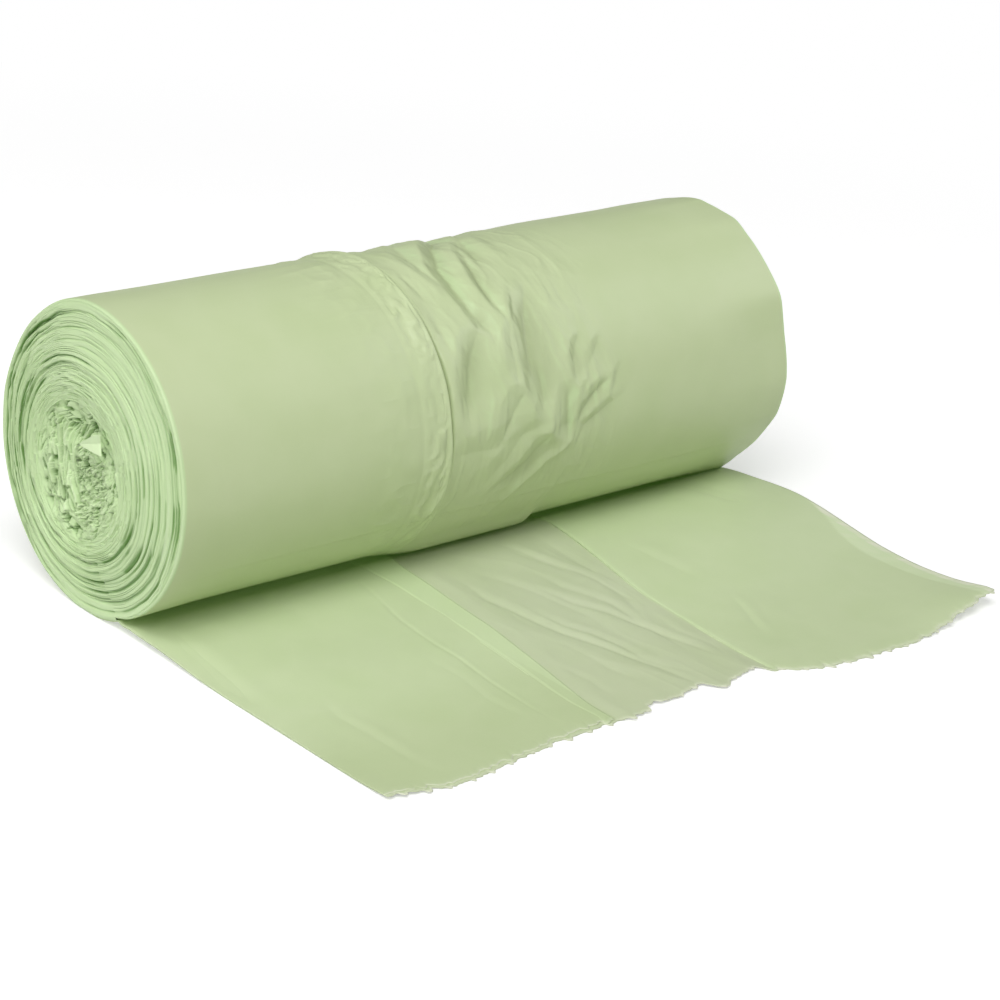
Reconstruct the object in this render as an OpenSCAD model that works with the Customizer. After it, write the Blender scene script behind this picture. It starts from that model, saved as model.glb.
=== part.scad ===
// Bin bag roll: one endless web of side-folded film bags, joined end to end at perforations
// and wound up without a core. The loose end leaves from under the roll and lies in front of it.
// X runs along the roll's axis, the loose end lies towards -Y, and the floor is at z = 0.

/* [Roll] */
// Diameter of the wound roll
roll_d = 110; // [90:1:140]
// Width of the folded web, along the roll's axis
web_w = 285; // [220:1:360]
// Width of the flat spot that the soft roll rests on
flat_w = 12; // [6:1:18]
// Angle from straight down at which the loose end leaves the roll
nip_angle = 21; // [16:1:28]

/* [Turns] */
// Turns that stand out on each end of the roll
turns = 13; // [8:1:13]
// Diameter of the crumpled centre
centre_d = 54; // [40:1:60]
// Depth of the groove between two turns
groove_depth = 1.3; // [0.5:0.1:2]
// Depth to which the crumpled centre sinks in
centre_depth = 2; // [1:0.5:6]

/* [Folded sides] */
// Width of the folded side at the left
left_side_w = 100; // [70:1:110]
// Width of the folded side at the right
right_side_w = 105; // [70:1:110]
// Thickness of a folded side, four layers of film that lie loosely
side_t = 1.2; // [0.8:0.1:1.8]
// Thickness of the strip between the folded sides, two layers of film
middle_t = 0.7; // [0.4:0.1:0.8]
// Depth of the gathers that run round the roll between the folded sides
gather_depth = 1.4; // [0.4:0.1:2]

/* [Loose end] */
// Distance from the roll's axis to the torn edge
tail_l = 164; // [130:1:220]
// Distance in which the loose end comes down to the floor at the left
left_settle = 50; // [30:1:80]
// Distance in which the loose end comes down to the floor at the right
right_settle = 105; // [60:1:105]
// Height of the wrinkles in the strip between the folded sides
wrinkle_h = 1.2; // [0.2:0.1:2]
// Height to which the right front corner curls up
curl_h = 6; // [1:0.5:12]

/* [Torn edge] */
// Tags that the torn perforation leaves along the edge
tags = 32; // [28:2:36]
// Length of a tag
tag_l = 0.9; // [0.3:0.1:1.2]
// Thickness of the film at the torn edge
torn_t = 0.5; // [0.3:0.1:0.7]

/* [Hidden] */

film = [0.72, 0.80, 0.58];
R = roll_d / 2;
half_w = web_w / 2;

// Stations along the width, counted in tags: whole tags over the two smooth sides and half
// tags over the gathered middle. The middle takes in both fold lines.
tag_pitch = web_w / tags;
left_tags = floor(left_side_w / tag_pitch);
right_tags = floor(right_side_w / tag_pitch) - 1;
middle_steps = 2 * (tags - left_tags - right_tags);
stations = left_tags + middle_steps + right_tags;
function station_tag(i) =
    i <= left_tags ? i
    : i <= left_tags + middle_steps ? left_tags + (i - left_tags) / 2
    : i - middle_steps / 2;
function tag_x(tag) = -half_w + tag * tag_pitch;
function station_x(i) = tag_x(station_tag(i));

// Steps round the roll. Angles are measured from straight down, positive towards the rear. The
// first step is the nip, where the underside of the web leaves, the next two bound the flat spot,
// and the last is back at the nip, on the upper side of the web.
around = 36;
flat_angle = asin(flat_w / roll_d);
axis_z = R * cos(flat_angle);
function step_angle(a) =
    a <= 0 ? -nip_angle
    : a == 1 ? -flat_angle
    : flat_angle + (360 - nip_angle - flat_angle) * (a - 2) / (around - 2);

// Shares and easing
function ramp(t) = t <= 0 ? 0 : t >= 1 ? 1 : t * t * (3 - 2 * t);
function blend(from, to, t) = from + (to - from) * t;
function hump(distance, reach) = exp(-pow(distance / reach, 2));
function wrap(angle) = angle - 360 * round(angle / 360);

// Radius of the winding after u turns from the nip. It loses one web thickness in the first turn,
// and then an even pitch each turn down to the crumpled centre. The outside keeps its full size
// until it comes round to the loose end again.
turn_pitch = (R - side_t - centre_d / 2) / (turns - 1);
loss_start = 0.65;
function turn_r(u) = u < 1 ? R - side_t * u : R - side_t - turn_pitch * (u - 1);
function outside_r(u) = R - side_t * ramp((u - loss_start) / (1 - loss_start));

// The share of a radius that is left over the flat spot
function flat_share(angle) =
    abs(wrap(angle)) <= flat_angle + 0.01 ? axis_z / (R * cos(wrap(angle))) : 1;

// Nothing bulges near the floor and the nip
still_angle = 30;
free_angle = 75;
function freedom(angle) = ramp((abs(wrap(angle)) - still_angle) / (free_angle - still_angle));

// Both ends are out of round. They are pressed into blunt corners and hollows, each given by its
// angle, height and width in degrees.
left_end_reach = 30;
right_end_reach = 45;
left_corners = [[115, -1.1, 30], [172, 1.1, 16]];
right_sink = 1.3;
right_corners = [
    [60, 1.9, 14], [110, 2, 14], [146, 1.7, 12], [168, 1.8, 11], [187, 1.8, 11],
    [201, 2.4, 9], [219, 1.2, 11], [237, 1.9, 9], [276, 1.6, 14], [335, 1, 12]
];
function sum_of(list, i = 0) = i >= len(list) ? 0 : list[i] + sum_of(list, i + 1);
function corners(list, angle) = sum_of([for (c = list) c[1] * hump(wrap(angle - c[0]), c[2])]);
function lump(x, angle) =
    let (left = ramp(1 - (x + half_w) / left_end_reach))
    let (right = ramp(1 - (half_w - x) / right_end_reach))
    let (pressed = right * (corners(right_corners, angle) - right_sink))
    freedom(angle) * (left * corners(left_corners, angle) + pressed);

// The left side's inner edge rings the roll as a lip that rises towards it and drops off steeply
ring_gap = 13;
ring_h = 1.2;
ring_rise = 12;
ring_drop = 3;
ring_sway = 0.5;
left_fold_x = -half_w + left_side_w;
right_fold_x = half_w - right_side_w;
function ring_lip(x, angle) =
    let (past = x - left_fold_x - ring_gap - ring_sway * sin(2 * angle))
    ring_h * ramp(1 + past / ring_rise) * ramp(0.5 - past / ring_drop);

// Pleats of the gathers: place along the width as a share of the middle, angle, how far the pleat
// drifts along the width in 100 degrees, half its length in degrees, and its depth as a share of
// the full depth. A pleat drops from its crest to its valley in a steep face, and comes back
// slowly. The last on this list stands up as a ridge.
pleats = [
    [0.25, 195, -11, 20, 0.6],
    [0.48, 182, -50, 20, 1.0],
    [0.34, 212, 0, 15, 0.8],
    [0.60, 190, -38, 17, 0.6],
    [0.53, 215, 0, 10, 0.6],
    [0.66, 231, -25, 17, 1.0],
    [0.64, 256, 18, 10, 0.6],
    [0.50, 239, -14, 12, 0.6],
    [0.20, 244, -33, 18, 0.9],
    [0.44, 261, -70, 10, 0.9],
    [0.84, 266, 3, 11, 0.8],
    [0.92, 247, -8, 10, 0.5],
    [0.99, 264, -60, 10, 0.5],
    [0.56, 282, -95, 10, 0.4],
    [0.30, 150, -30, 34, 0.9],
    [0.66, 140, 25, 32, 0.8],
    [0.46, 100, 18, 30, 0.7],
    [0.84, 150, -16, 28, 0.6],
    [0.69, 287, -95, 14, -0.6]
];
face_w = 4.5;
crest_share = 0.8;
slow_reach = 6;
ripple_h = 0.2;
gathers_in = 4;
gathers_past = 26;
gathers_out = 22;
middle_w = right_fold_x - left_fold_x - ring_gap;
function pleat(x, angle, c) =
    let (off = wrap(angle - c[1]))
    let (past = x - left_fold_x - ring_gap - middle_w * c[0] - off / 100 * c[2])
    let (face = (1 + crest_share) * min(-past / face_w, 1) - 1)
    let (fold = past > 0 ? -exp(-past / slow_reach) : face * exp(min(past + face_w, 0) / slow_reach))
    c[4] * fold * ramp(1.5 - abs(off) / c[3]);
function in_middle(x) =
    ramp((x - left_fold_x - ring_gap) / gathers_in) * ramp((right_fold_x + gathers_past - x) / gathers_out);
function gathers(x, angle) =
    let (ripple = ripple_h * sin(9 * angle + 6 * x))
    let (pleated = gather_depth * sum_of([for (c = pleats) pleat(x, angle, c)]))
    ring_lip(x, angle) + in_middle(x) * (ripple + pleated);

// A point of the wound outside, after step a of its turn
function skin(x, a) =
    let (angle = step_angle(a))
    let (r = outside_r(a / around) * flat_share(angle) + lump(x, angle) + freedom(angle) * gathers(x, angle))
    [x, r * sin(angle), axis_z - r * cos(angle)];

// The loose end. Rows run from the nip out to the torn edge, closer together near the nip.
rows = 11;
nip_y = -R * sin(nip_angle);
nip_z = axis_z - R * cos(nip_angle);
row_start = 0.04;
torn_strip = 6;
function row_share(j) = blend(row_start, 1, (j - 1) / (rows - 1));

// The torn line: the right side reaches furthest out but draws back at its corner, the left side
// reaches out a little near its corner, and the thin middle tore further in
right_reach = 10;
right_corner_back = 6.5;
right_corner_w = 57;
left_reach = 4;
left_reach_x = -0.85 * half_w;
left_reach_w = 26;
middle_back = 3;
middle_back_w = 24;
function torn_y(x) =
    let (right = right_reach * ramp((x - right_fold_x + 6) / middle_back_w))
    let (corner = right_corner_back * pow(max(1 - (half_w - x) / right_corner_w, 0), 2))
    let (left = left_reach * hump(x - left_reach_x, left_reach_w))
    let (middle = middle_back * hump(x, middle_back_w) * (1 + 0.4 * sin(24 * x)))
    -tail_l - right + corner - left + middle;

// Fold lines drift to the left on their way out
left_drift = 9;
right_drift = 15;
function left_line(v) = left_fold_x + left_drift * (0.5 - v);
function right_line(v) = right_fold_x + right_drift * (0.5 - v);
function inside_folds(x, v) =
    ramp((x - left_line(v) + 2) / 8) * ramp((right_line(v) + 2 - x) / 8);

// Height of the underside: it leaves the roll in its own curve, comes down to the floor sooner at
// the left, wrinkles between the folds and curls up at the right corner
left_slope = 0.2;
right_slope = 0.9;
curl_reach = 34;
function underside(x, v) =
    let (y = blend(nip_y, torn_y(x), v), away = nip_y - y, share = (x + half_w) / web_w)
    let (settle = blend(left_settle, right_settle, share), t = min(away / settle, 1))
    let (slope = tan(nip_angle) * blend(left_slope, right_slope, share))
    let (leaving = nip_z * (2 * t * t * t - 3 * t * t + 1) + slope * settle * (t * t * t - 2 * t * t + t))
    let (wave = sin(13 * x + 1.6 * y) + 0.6 * sin(24 * x - 2.1 * y + 50))
    let (wrinkle = wrinkle_h * inside_folds(x, v) * ramp(away / 30) * max(wave, 0))
    let (corner = norm([half_w - x, torn_y(x) - y]))
    leaving + wrinkle + curl_h * pow(max(1 - corner / curl_reach, 0), 2);

// Thickness: four layers at the sides, two between the folds, and a doubled band beside the left
// fold line. The folds only show past the first tenth of the loose end.
fold_start = 0.1;
band_h = 0.5;
band_reach = 6;
near_band = 9;
far_band = 2;
function thickness(x, v) =
    let (seen = ramp(v / fold_start))
    let (band = band_h * hump(x - left_line(v) - blend(near_band, far_band, v), band_reach))
    side_t + seen * (band - (side_t - middle_t) * inside_folds(x, v));

// A row's share of the way to the torn edge, which stops short by the width of the torn strip
function row_v(x, j) = row_share(j) * (1 - torn_strip / (nip_y - torn_y(x)));
function lower(x, j) = let (v = row_v(x, j)) [x, blend(nip_y, torn_y(x), v), underside(x, v)];
function upper(x, j) = lower(x, j) + [0, 0, thickness(x, row_v(x, j))];

// Each tag is a small tooth on the torn line, with its corners at these shares of the pitch
tag_corners = [0.34, 0.42, 0.58, 0.66];
function tag_out(tag) =
    let (phase = tag - floor(tag))
    phase > tag_corners[0] + 0.01 && phase < tag_corners[3] - 0.01 ? tag_l : 0;
function torn_lower(tag) = let (x = tag_x(tag)) [x, torn_y(x) - tag_out(tag), underside(x, 1)];
function torn_upper(tag) = torn_lower(tag) + [0, 0, torn_t];

// One closed outline a station: round the roll, out along the top of the loose end and back
// along its underside
outline = around + 1 + 2 * (rows + 1);
function skin_id(i, a) = i * outline + a;
function upper_id(i, j) = i * outline + around + j;
function lower_id(i, j) = i * outline + (outline - j) % outline;
outline_points = [
    for (i = [0 : stations])
        let (x = station_x(i), tag = station_tag(i))
        each concat(
            [for (a = [0 : around]) skin(x, a)],
            [for (j = [1 : rows]) upper(x, j)],
            [torn_upper(tag), torn_lower(tag)],
            [for (j = [rows : -1 : 1]) lower(x, j)]
        )
];

corner_base = len(outline_points);
corner_points = [
    for (tag = [0 : tags - 1])
        for (c = tag_corners)
            each [torn_upper(tag + c), torn_lower(tag + c)]
];
// The corners that lie between a station and the next, side 0 for the upper face and 1 for the lower
function corner_ids(i, side) = [
    for (m = [4 * station_tag(i) : 4 * station_tag(i + 1) - 1]) corner_base + 2 * m + side
];

// The ends. One spiral of turns runs inwards from the nip as three strands: the outer and inner
// edge of each turn, and the groove before the next.
strand_share = [0, 0.55, 0.8];
strand_end = (turns - 1) * around;
centre_rings = 6;
crumple_size = 1.6;
left_crumple = rands(-1, 1, 2 * centre_rings * around, 11);
right_crumple = rands(-1, 1, 2 * centre_rings * around, 29);

// How far a turn has slipped inwards along the axis, at random from turn to turn and in slow
// waves round it. The first turn starts flush with the loose end, and the inner turns lie behind
// a ledge that is highest at the rear and top.
slip_mean = 0.2;
slip_spread = 0.45;
slip_wave = 0.3;
ledge_h = 1.4;
ledge_place = 0.66;
ledge_w = 0.08;
ledge_angle = 165;
turn_slip = rands(-slip_spread, slip_spread, turns + 3, 7);
function inward(r) = (R - r) / (R - centre_d / 2);
function sunk(side, u, angle) =
    let (t = floor(u), slip = blend(turn_slip[t], turn_slip[t + 1], u - t))
    let (waves = slip_wave * (sin(2 * angle + 70 * side) + 0.7 * sin(3 * angle + 40 * u)))
    let (higher = 0.7 + 0.3 * cos(angle - ledge_angle))
    let (ledge = ledge_h * higher * ramp((inward(turn_r(u)) - ledge_place) / ledge_w))
    (slip_mean + slip + waves + ledge) * ramp(u);
function groove(side, u, angle) =
    let (open = 0.6 + 0.4 * sin(2 * angle + 47 * floor(u) + 90 * side) * sin(3 * angle - 80 * floor(u)))
    groove_depth * open * ramp(2 * u);

// The turns run out of round, more so towards the centre, and have a kink at the rear. The
// crumpled centre has moved off the axis, and the turns with it: to the rear and down at the left,
// and a little to the front and up at the right.
wobble_size = 0.7;
kink_size = 0.9;
kink_angle = 110;
kink_reach = 10;
kink_place = 0.45;
kink_w = 0.25;
left_off = [0.36, -0.24];
right_off = [-0.18, 0.12];
off_bend = 1.15;
function wobble(side, angle, r) =
    let (kink = hump(wrap(angle - kink_angle - 20 * side), kink_reach) * hump(inward(r) - kink_place, kink_w))
    let (round = sin(2 * angle + 80 + 60 * side) + 0.6 * sin(5 * angle + 30))
    wobble_size * inward(r) * round - kink_size * kink;
function end_scale(side, angle) = flat_share(angle) + lump(side * half_w, angle) / R;
function off_axis(side, r) =
    (side < 0 ? left_off : right_off) * (R - centre_d / 2) * pow(max(min(inward(r), 1), 0), off_bend);
function round_point(side, x, r, angle, base_r) =
    let (off = off_axis(side, base_r))
    [side * x, r * sin(angle) + off[0], axis_z - r * cos(angle) + off[1]];

function strand_point(side, c, n) =
    let (angle = step_angle(n % around), u = n / around + strand_share[c], base_r = turn_r(u))
    let (r = base_r * end_scale(side, angle) + wobble(side, angle, base_r) * freedom(angle))
    let (x = half_w - sunk(side, u, angle) - (c == 2 ? groove(side, u, angle) : 0))
    round_point(side, x, r, angle, base_r);

// Rings of the crumpled centre, each turned half a step against the strands. They stand out and
// sink in by turns, as crushed turns do, and at random.
centre_rim = 2;
crumple_shift = 0.8;
function half_step_angle(a) =
    let (before = a == 0 ? step_angle(around - 1) - 360 : step_angle(a - 1))
    (step_angle(a) + before) / 2;
function centre_point(side, k, a) =
    let (m = 2 * (k * around + a), crumple = side < 0 ? left_crumple : right_crumple)
    let (angle = half_step_angle(a), share = (k + 1) / (centre_rings + 1))
    let (r = centre_d / 2 * (1 - share) + crumple_shift * crumple[m])
    let (fold = crumple_size * (k % 2 - 0.5 + crumple[m + 1]) * (1 - share / 2))
    let (depth = centre_rim + centre_depth * ramp(2 * share) + fold)
    round_point(side, half_w - depth, r, angle, centre_d / 2);

function end_points(side) = concat(
    [for (n = [around + 1 : around + strand_end]) strand_point(side, 0, n)],
    [for (c = [1, 2]) for (n = [0 : strand_end]) strand_point(side, c, n)],
    [for (k = [0 : centre_rings - 1]) for (a = [0 : around - 1]) centre_point(side, k, a)],
    [round_point(side, half_w - centre_rim - centre_depth, 0, 0, centre_d / 2)]
);
left_base = corner_base + len(corner_points);
right_base = left_base + len(end_points(-1));
points = concat(outline_points, corner_points, end_points(-1), end_points(1));

function end_station(side) = side < 0 ? 0 : stations;
function end_base(side) = side < 0 ? left_base : right_base;
function strand_id(side, c, n) =
    c == 0 && n <= around ? skin_id(end_station(side), n)
    : c == 0 ? end_base(side) + n - around - 1
    : end_base(side) + strand_end + (c - 1) * (strand_end + 1) + n;
function centre_id(side, k, a) =
    end_base(side) + strand_end + 2 * (strand_end + 1) + k * around + a % around;

// Faces. A quad is two triangles, and a mirrored end has its faces turned over.
function quad(a, b, c, d) = [[a, b, c], [a, c, d]];
function fan(ids) = [for (k = [1 : len(ids) - 2]) [ids[0], ids[k], ids[k + 1]]];
function turned(faces, side) = side < 0 ? faces : [for (f = faces) [f[2], f[1], f[0]]];
function reversed(ids) = [for (k = [len(ids) - 1 : -1 : 0]) ids[k]];

function band_faces(i) = [
    for (e = [0 : outline - 1])
        if (e < around + rows || e > around + rows + 2)
            let (next = (e + 1) % outline)
            each quad(skin_id(i, e), skin_id(i + 1, e), skin_id(i + 1, next), skin_id(i, next))
];
function torn_faces(i) =
    let (top = concat([upper_id(i, rows + 1)], corner_ids(i, 0), [upper_id(i + 1, rows + 1)]))
    let (under = concat([lower_id(i, rows + 1)], corner_ids(i, 1), [lower_id(i + 1, rows + 1)]))
    concat(
        fan(concat([upper_id(i, rows), upper_id(i + 1, rows)], reversed(top))),
        fan(concat([lower_id(i, rows)], under, [lower_id(i + 1, rows)])),
        [for (k = [0 : len(top) - 2]) each quad(top[k], top[k + 1], under[k + 1], under[k])]
    );
function turn_faces(side) = [
    for (n = [0 : strand_end - 1])
        for (c = [0 : 2])
            let (inner = c == 2 ? 0 : c + 1, m = c == 2 ? n + around : n)
            each quad(strand_id(side, c, n), strand_id(side, c, n + 1),
                strand_id(side, inner, m + 1), strand_id(side, inner, m))
];
function centre_faces(side) = concat(
    [for (a = [0 : around - 1])
        each quad(strand_id(side, 0, strand_end + a), strand_id(side, 0, strand_end + a + 1),
            centre_id(side, 0, a + 1), centre_id(side, 0, a))],
    fan([centre_id(side, 0, 0), strand_id(side, 0, strand_end + around), strand_id(side, 2, strand_end),
        strand_id(side, 1, strand_end), strand_id(side, 0, strand_end)]),
    [for (k = [0 : centre_rings - 2]) for (a = [0 : around - 1])
        each quad(centre_id(side, k, a), centre_id(side, k, a + 1),
            centre_id(side, k + 1, a + 1), centre_id(side, k + 1, a))],
    [for (a = [0 : around - 1])
        [centre_id(side, centre_rings - 1, a), centre_id(side, centre_rings - 1, a + 1),
            centre_id(side, centre_rings, 0)]]
);
function edge_faces(side) =
    let (i = end_station(side))
    concat(
        fan([lower_id(i, 1), strand_id(side, 0, 0), strand_id(side, 1, 0), strand_id(side, 2, 0),
            strand_id(side, 0, around), upper_id(i, 1)]),
        [for (j = [1 : rows])
            each quad(lower_id(i, j + 1), lower_id(i, j), upper_id(i, j), upper_id(i, j + 1))]
    );
function end_faces(side) = turned(concat(turn_faces(side), centre_faces(side), edge_faces(side)), side);

faces = concat(
    [for (i = [0 : stations - 1]) each concat(band_faces(i), torn_faces(i))],
    end_faces(-1),
    end_faces(1)
);

module bag_roll() {
    color(film) polyhedron(points, faces, convexity = 12);
}

bag_roll();
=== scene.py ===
"""Bin bag roll: a side-folded web of film bags, wound up without a core.

Every surface is worked out in millimetres as whole numpy arrays and put into its mesh in metres.
X runs along the roll's axis, the loose end lies towards -Y, and the floor is at z = 0. Angles
round the roll are in degrees from straight down, positive towards the rear.
"""

import bpy
import numpy as np
from mathutils import Matrix


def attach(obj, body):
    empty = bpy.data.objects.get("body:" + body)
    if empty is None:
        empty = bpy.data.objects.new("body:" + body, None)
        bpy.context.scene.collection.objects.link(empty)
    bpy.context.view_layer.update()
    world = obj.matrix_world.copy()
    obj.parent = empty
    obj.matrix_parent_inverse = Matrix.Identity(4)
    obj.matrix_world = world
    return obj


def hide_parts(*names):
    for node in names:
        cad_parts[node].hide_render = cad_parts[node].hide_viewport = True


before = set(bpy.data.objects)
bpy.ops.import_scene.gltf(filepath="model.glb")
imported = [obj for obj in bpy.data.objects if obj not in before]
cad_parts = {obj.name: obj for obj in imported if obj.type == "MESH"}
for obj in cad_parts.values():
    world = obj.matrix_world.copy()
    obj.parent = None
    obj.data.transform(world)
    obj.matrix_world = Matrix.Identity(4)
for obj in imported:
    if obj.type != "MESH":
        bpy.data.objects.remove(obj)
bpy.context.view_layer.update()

MM = 0.001

# The roll: its radius, half of the web's width, the flat spot that it rests on, the height of its
# axis, the angle at which the loose end leaves it, and the web's thickness
R = 55.0
HALF_W = 142.5
FLAT_W = 12.0
FLAT = np.degrees(np.arcsin(FLAT_W / (2 * R)))
AXIS_Z = R * np.cos(np.radians(FLAT))
NIP = 21.0
WEB_T = 1.2

# How wide and how high the pleats' steep faces are, against their list
FACE_SCALE = 1.75
PLEAT_SCALE = 1.4

SIDE_NAMES = {-1: "left", 1: "right"}


# Shares, easing and noise

def ramp(t):
    """A smooth step from 0 to 1: 3 t squared less 2 t cubed."""
    t = np.clip(t, 0.0, 1.0)
    return t * t * (3 - 2 * t)


def hump(distance, reach):
    """A bell that has fallen to 1/e at the reach."""
    return np.exp(-(distance / reach) ** 2)


def wrap(angle):
    """The angle brought to within 180 degrees of nought."""
    return angle - 360.0 * np.round(angle / 360.0)


def beyond(angle, middle, start, fade):
    """0 up to start degrees from the middle, and 1 from a fade further."""
    return ramp((np.abs(wrap(angle - middle)) - start) / fade)


def within(angle, middle, end, fade):
    """0 from end degrees from the middle, and 1 from a fade nearer."""
    return ramp((end - np.abs(wrap(angle - middle))) / fade)


def stations(start, *runs):
    """Places from the start on, in runs of even steps. Each run is (steps, end)."""
    places = [np.array([start], float)]
    for steps, end in runs:
        places.append(np.linspace(places[-1][-1], end, steps + 1)[1:])
    return np.concatenate(places)


def hashed(ix, iy, number, seed):
    """A value from -1 to 1 for each cell, by integer mixing of its two indices and a number."""
    n = (ix.astype(np.int64) * 374761393 + iy.astype(np.int64) * 668265263
         + number * 2147483647 + seed * 974634777) & 0xFFFFFFFF
    n = ((n ^ (n >> 13)) * 1274126177) & 0xFFFFFFFF
    n = ((n ^ (n >> 16)) * 2246822519) & 0xFFFFFFFF
    n = n ^ (n >> 15)
    return n / 2147483647.5 - 1.0


def noise(x, y, seed):
    """Value noise: the hashed corners of each unit cell, blended by a fifth-power ease."""
    x, y = np.broadcast_arrays(x, y)
    ix, iy = np.floor(x), np.floor(y)
    ex, ey = (f ** 3 * (f * (6 * f - 15) + 10) for f in (x - ix, y - iy))
    return sum((ex if dx else 1 - ex) * (ey if dy else 1 - ey) * hashed(ix + dx, iy + dy, 0, seed)
               for dy in (0, 1) for dx in (0, 1))


def octaves_of(shape, x, y, seed, octaves):
    """The sum of a shaped noise in octaves, each twice as fine and half as strong."""
    return sum(shape(noise(x * 2 ** k, y * 2 ** k, seed + 17 * k)) / 2 ** k for k in range(octaves))


def fbm(x, y, seed, octaves=3):
    """Plain noise in octaves."""
    return octaves_of(lambda n: n, x, y, seed, octaves)


def ridged(x, y, seed, octaves=3):
    """Sharp ridges where the noise crosses nought: 1 less its size, squared, in octaves, about 0 to 1."""
    return octaves_of(lambda n: (1 - np.abs(n)) ** 2, x, y, seed, octaves) / (2 - 0.5 ** (octaves - 1))


def smooth_table(at, table, spread):
    """A table of (place, value) read between its rows, and softened by a bell of that spread."""
    places, values = np.array(sorted(table), float).T
    offsets = np.linspace(-1.6, 1.6, 9)
    weights = hump(offsets, 1.0)
    weights /= weights.sum()
    return sum(w * np.interp(at + o * spread, places, values) for o, w in zip(offsets, weights))


def on_polyline(u, v, points):
    """The nearest place on a polyline for each point: the distance to it, the distance off its line
    (positive on the left hand), how far past the line's ends the point lies, and the place as a
    number of segments."""
    p = np.array(points, float)[:, :2]
    shape = np.broadcast(u, v).shape
    nearest = [np.full(shape, np.inf)] + [np.zeros(shape)] * 3
    for k, (a, b) in enumerate(zip(p[:-1], p[1:])):
        length = np.hypot(*(b - a))
        du, dv = (b - a) / length
        along = (u - a[0]) * du + (v - a[1]) * dv
        t = np.clip(along, 0, length)
        off_u, off_v = u - a[0] - t * du, v - a[1] - t * dv
        ended = ((k == 0) & (along < 0)) | ((k == len(p) - 2) & (along > length))
        found = [np.hypot(off_u, off_v), du * off_v - dv * off_u, np.where(ended, np.abs(along - t), 0),
                 k + t / length]
        closer = found[0] < nearest[0]
        nearest = [np.where(closer, new, old) for new, old in zip(found, nearest)]
    return nearest


def pleats(u, v, folds):
    """Height of pressed-in pleats. Each fold is (steep side, valley's depth, crest's height, width of
    the steep face, reach of the slow side, reach beyond the crest, points), and each point (u, v,
    share). On its steep side, +1 for the left hand of the line, a fold climbs from the valley to
    the crest over the face, and dies away beyond it; on the slow side it comes back gently. With
    no steep side it is a plain valley. The shares scale it along the line."""
    height = np.zeros(np.broadcast(u, v).shape)
    for steep, depth, crest, face, slow, far, points in folds:
        distance, across, past, place = on_polyline(u, v, points)
        signed = np.where(past > 0, across, np.sign(across) * distance)
        share = np.interp(place, np.arange(len(points)), [point[2] for point in points])
        width = FACE_SCALE * face * (0.4 + 0.6 * share)
        if steep:
            x = signed * steep / width
            climb = np.clip(x, 0, 1)
            profile = np.where(x < 0, -depth * np.exp(-np.abs(x) * width / slow),
                               (depth + crest) * (1.15 * climb - 0.15 * climb ** 3) - depth)
            profile = np.where(x > 1, crest * np.exp(-(np.abs(x - 1) * width / far) ** 1.5), profile)
            profile = profile * PLEAT_SCALE
        else:
            profile = -depth * np.exp(-(np.abs(signed) / width) ** 1.3)
        height += share * hump(past, 2.0) * profile
    return height


def creases(x, y, lines):
    """Height of pressed-in lines. Each line is (points, depth, width, lip): a pointed valley along
    the polyline, a raised lip of that share on its left hand, both fading to its ends."""
    height = np.zeros(np.broadcast(x, y).shape)
    for points, depth, width, lip in lines:
        distance, across, _, place = on_polyline(x, y, points)
        starts = np.concatenate([[0], np.cumsum(np.hypot(*np.diff(points, axis=0).T))])
        share = np.interp(place, np.arange(len(starts)), starts / starts[-1])
        taper = ramp(np.minimum(share, 1 - share) / 0.35 + 0.08)
        valley = np.exp(-(distance / width) ** 1.25)
        raised = lip * hump(distance * np.sign(across) - 1.6 * width, 1.1 * width)
        height += taper * depth * (raised - valley)
    return height


def flakes(y, z, size_y, size_z, seed, tilt, step):
    """Overlapping flakes: every point belongs to the nearest of the jittered cell centres, and takes
    that cell's own height and slope. Also gives how near the point is to the edge of its flake."""
    gy, gz = y / size_y, z / size_z
    iy, iz = np.floor(gy), np.floor(gz)
    best, second = np.full(gy.shape, np.inf), np.full(gy.shape, np.inf)
    height = np.zeros(gy.shape)
    for dy in (-1, 0, 1):
        for dz in (-1, 0, 1):
            cy, cz = iy + dy, iz + dz
            own = [hashed(cy, cz, k, seed) for k in range(5)]
            off_y, off_z = gy - cy - 0.5 - 0.42 * own[0], gz - cz - 0.5 - 0.42 * own[1]
            d = np.hypot(off_y, off_z)
            near = d < best
            second = np.where(near, best, np.minimum(second, d))
            slope = own[3] * off_y * size_y + own[4] * off_z * size_z
            height = np.where(near, step * own[2] + tilt * slope, height)
            best = np.where(near, d, best)
    return height, second - best


# Making meshes

def add_mesh(name, points, faces, smooth=True):
    """A mesh object at the origin from points in millimetres and an array of four-sided faces."""
    points = np.ascontiguousarray(points, float) * MM
    faces = np.ascontiguousarray(faces, np.int64)
    mesh = bpy.data.meshes.new(name)
    mesh.vertices.add(len(points))
    mesh.vertices.foreach_set("co", points.ravel())
    mesh.loops.add(faces.size)
    mesh.loops.foreach_set("vertex_index", faces.ravel().astype(np.int32))
    mesh.polygons.add(len(faces))
    mesh.polygons.foreach_set("loop_start", np.arange(0, faces.size, faces.shape[1], dtype=np.int32))
    mesh.update(calc_edges=True)
    mesh.validate()
    mesh.polygons.foreach_set("use_smooth", np.full(len(mesh.polygons), smooth))
    piece = bpy.data.objects.new(name, mesh)
    bpy.context.scene.collection.objects.link(piece)
    return piece


def grid_faces(rows, columns, close_columns=False):
    """Faces of a grid of rows by columns, optionally joined round."""
    r = np.arange(rows - 1)[:, None]
    c = np.arange(columns if close_columns else columns - 1)[None, :]
    n = (c + 1) % columns
    quads = [r * columns + c, r * columns + n, (r + 1) * columns + n, (r + 1) * columns + c]
    return np.stack([np.broadcast_to(q, (rows - 1, c.size)) for q in quads], -1).reshape(-1, 4)


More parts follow.
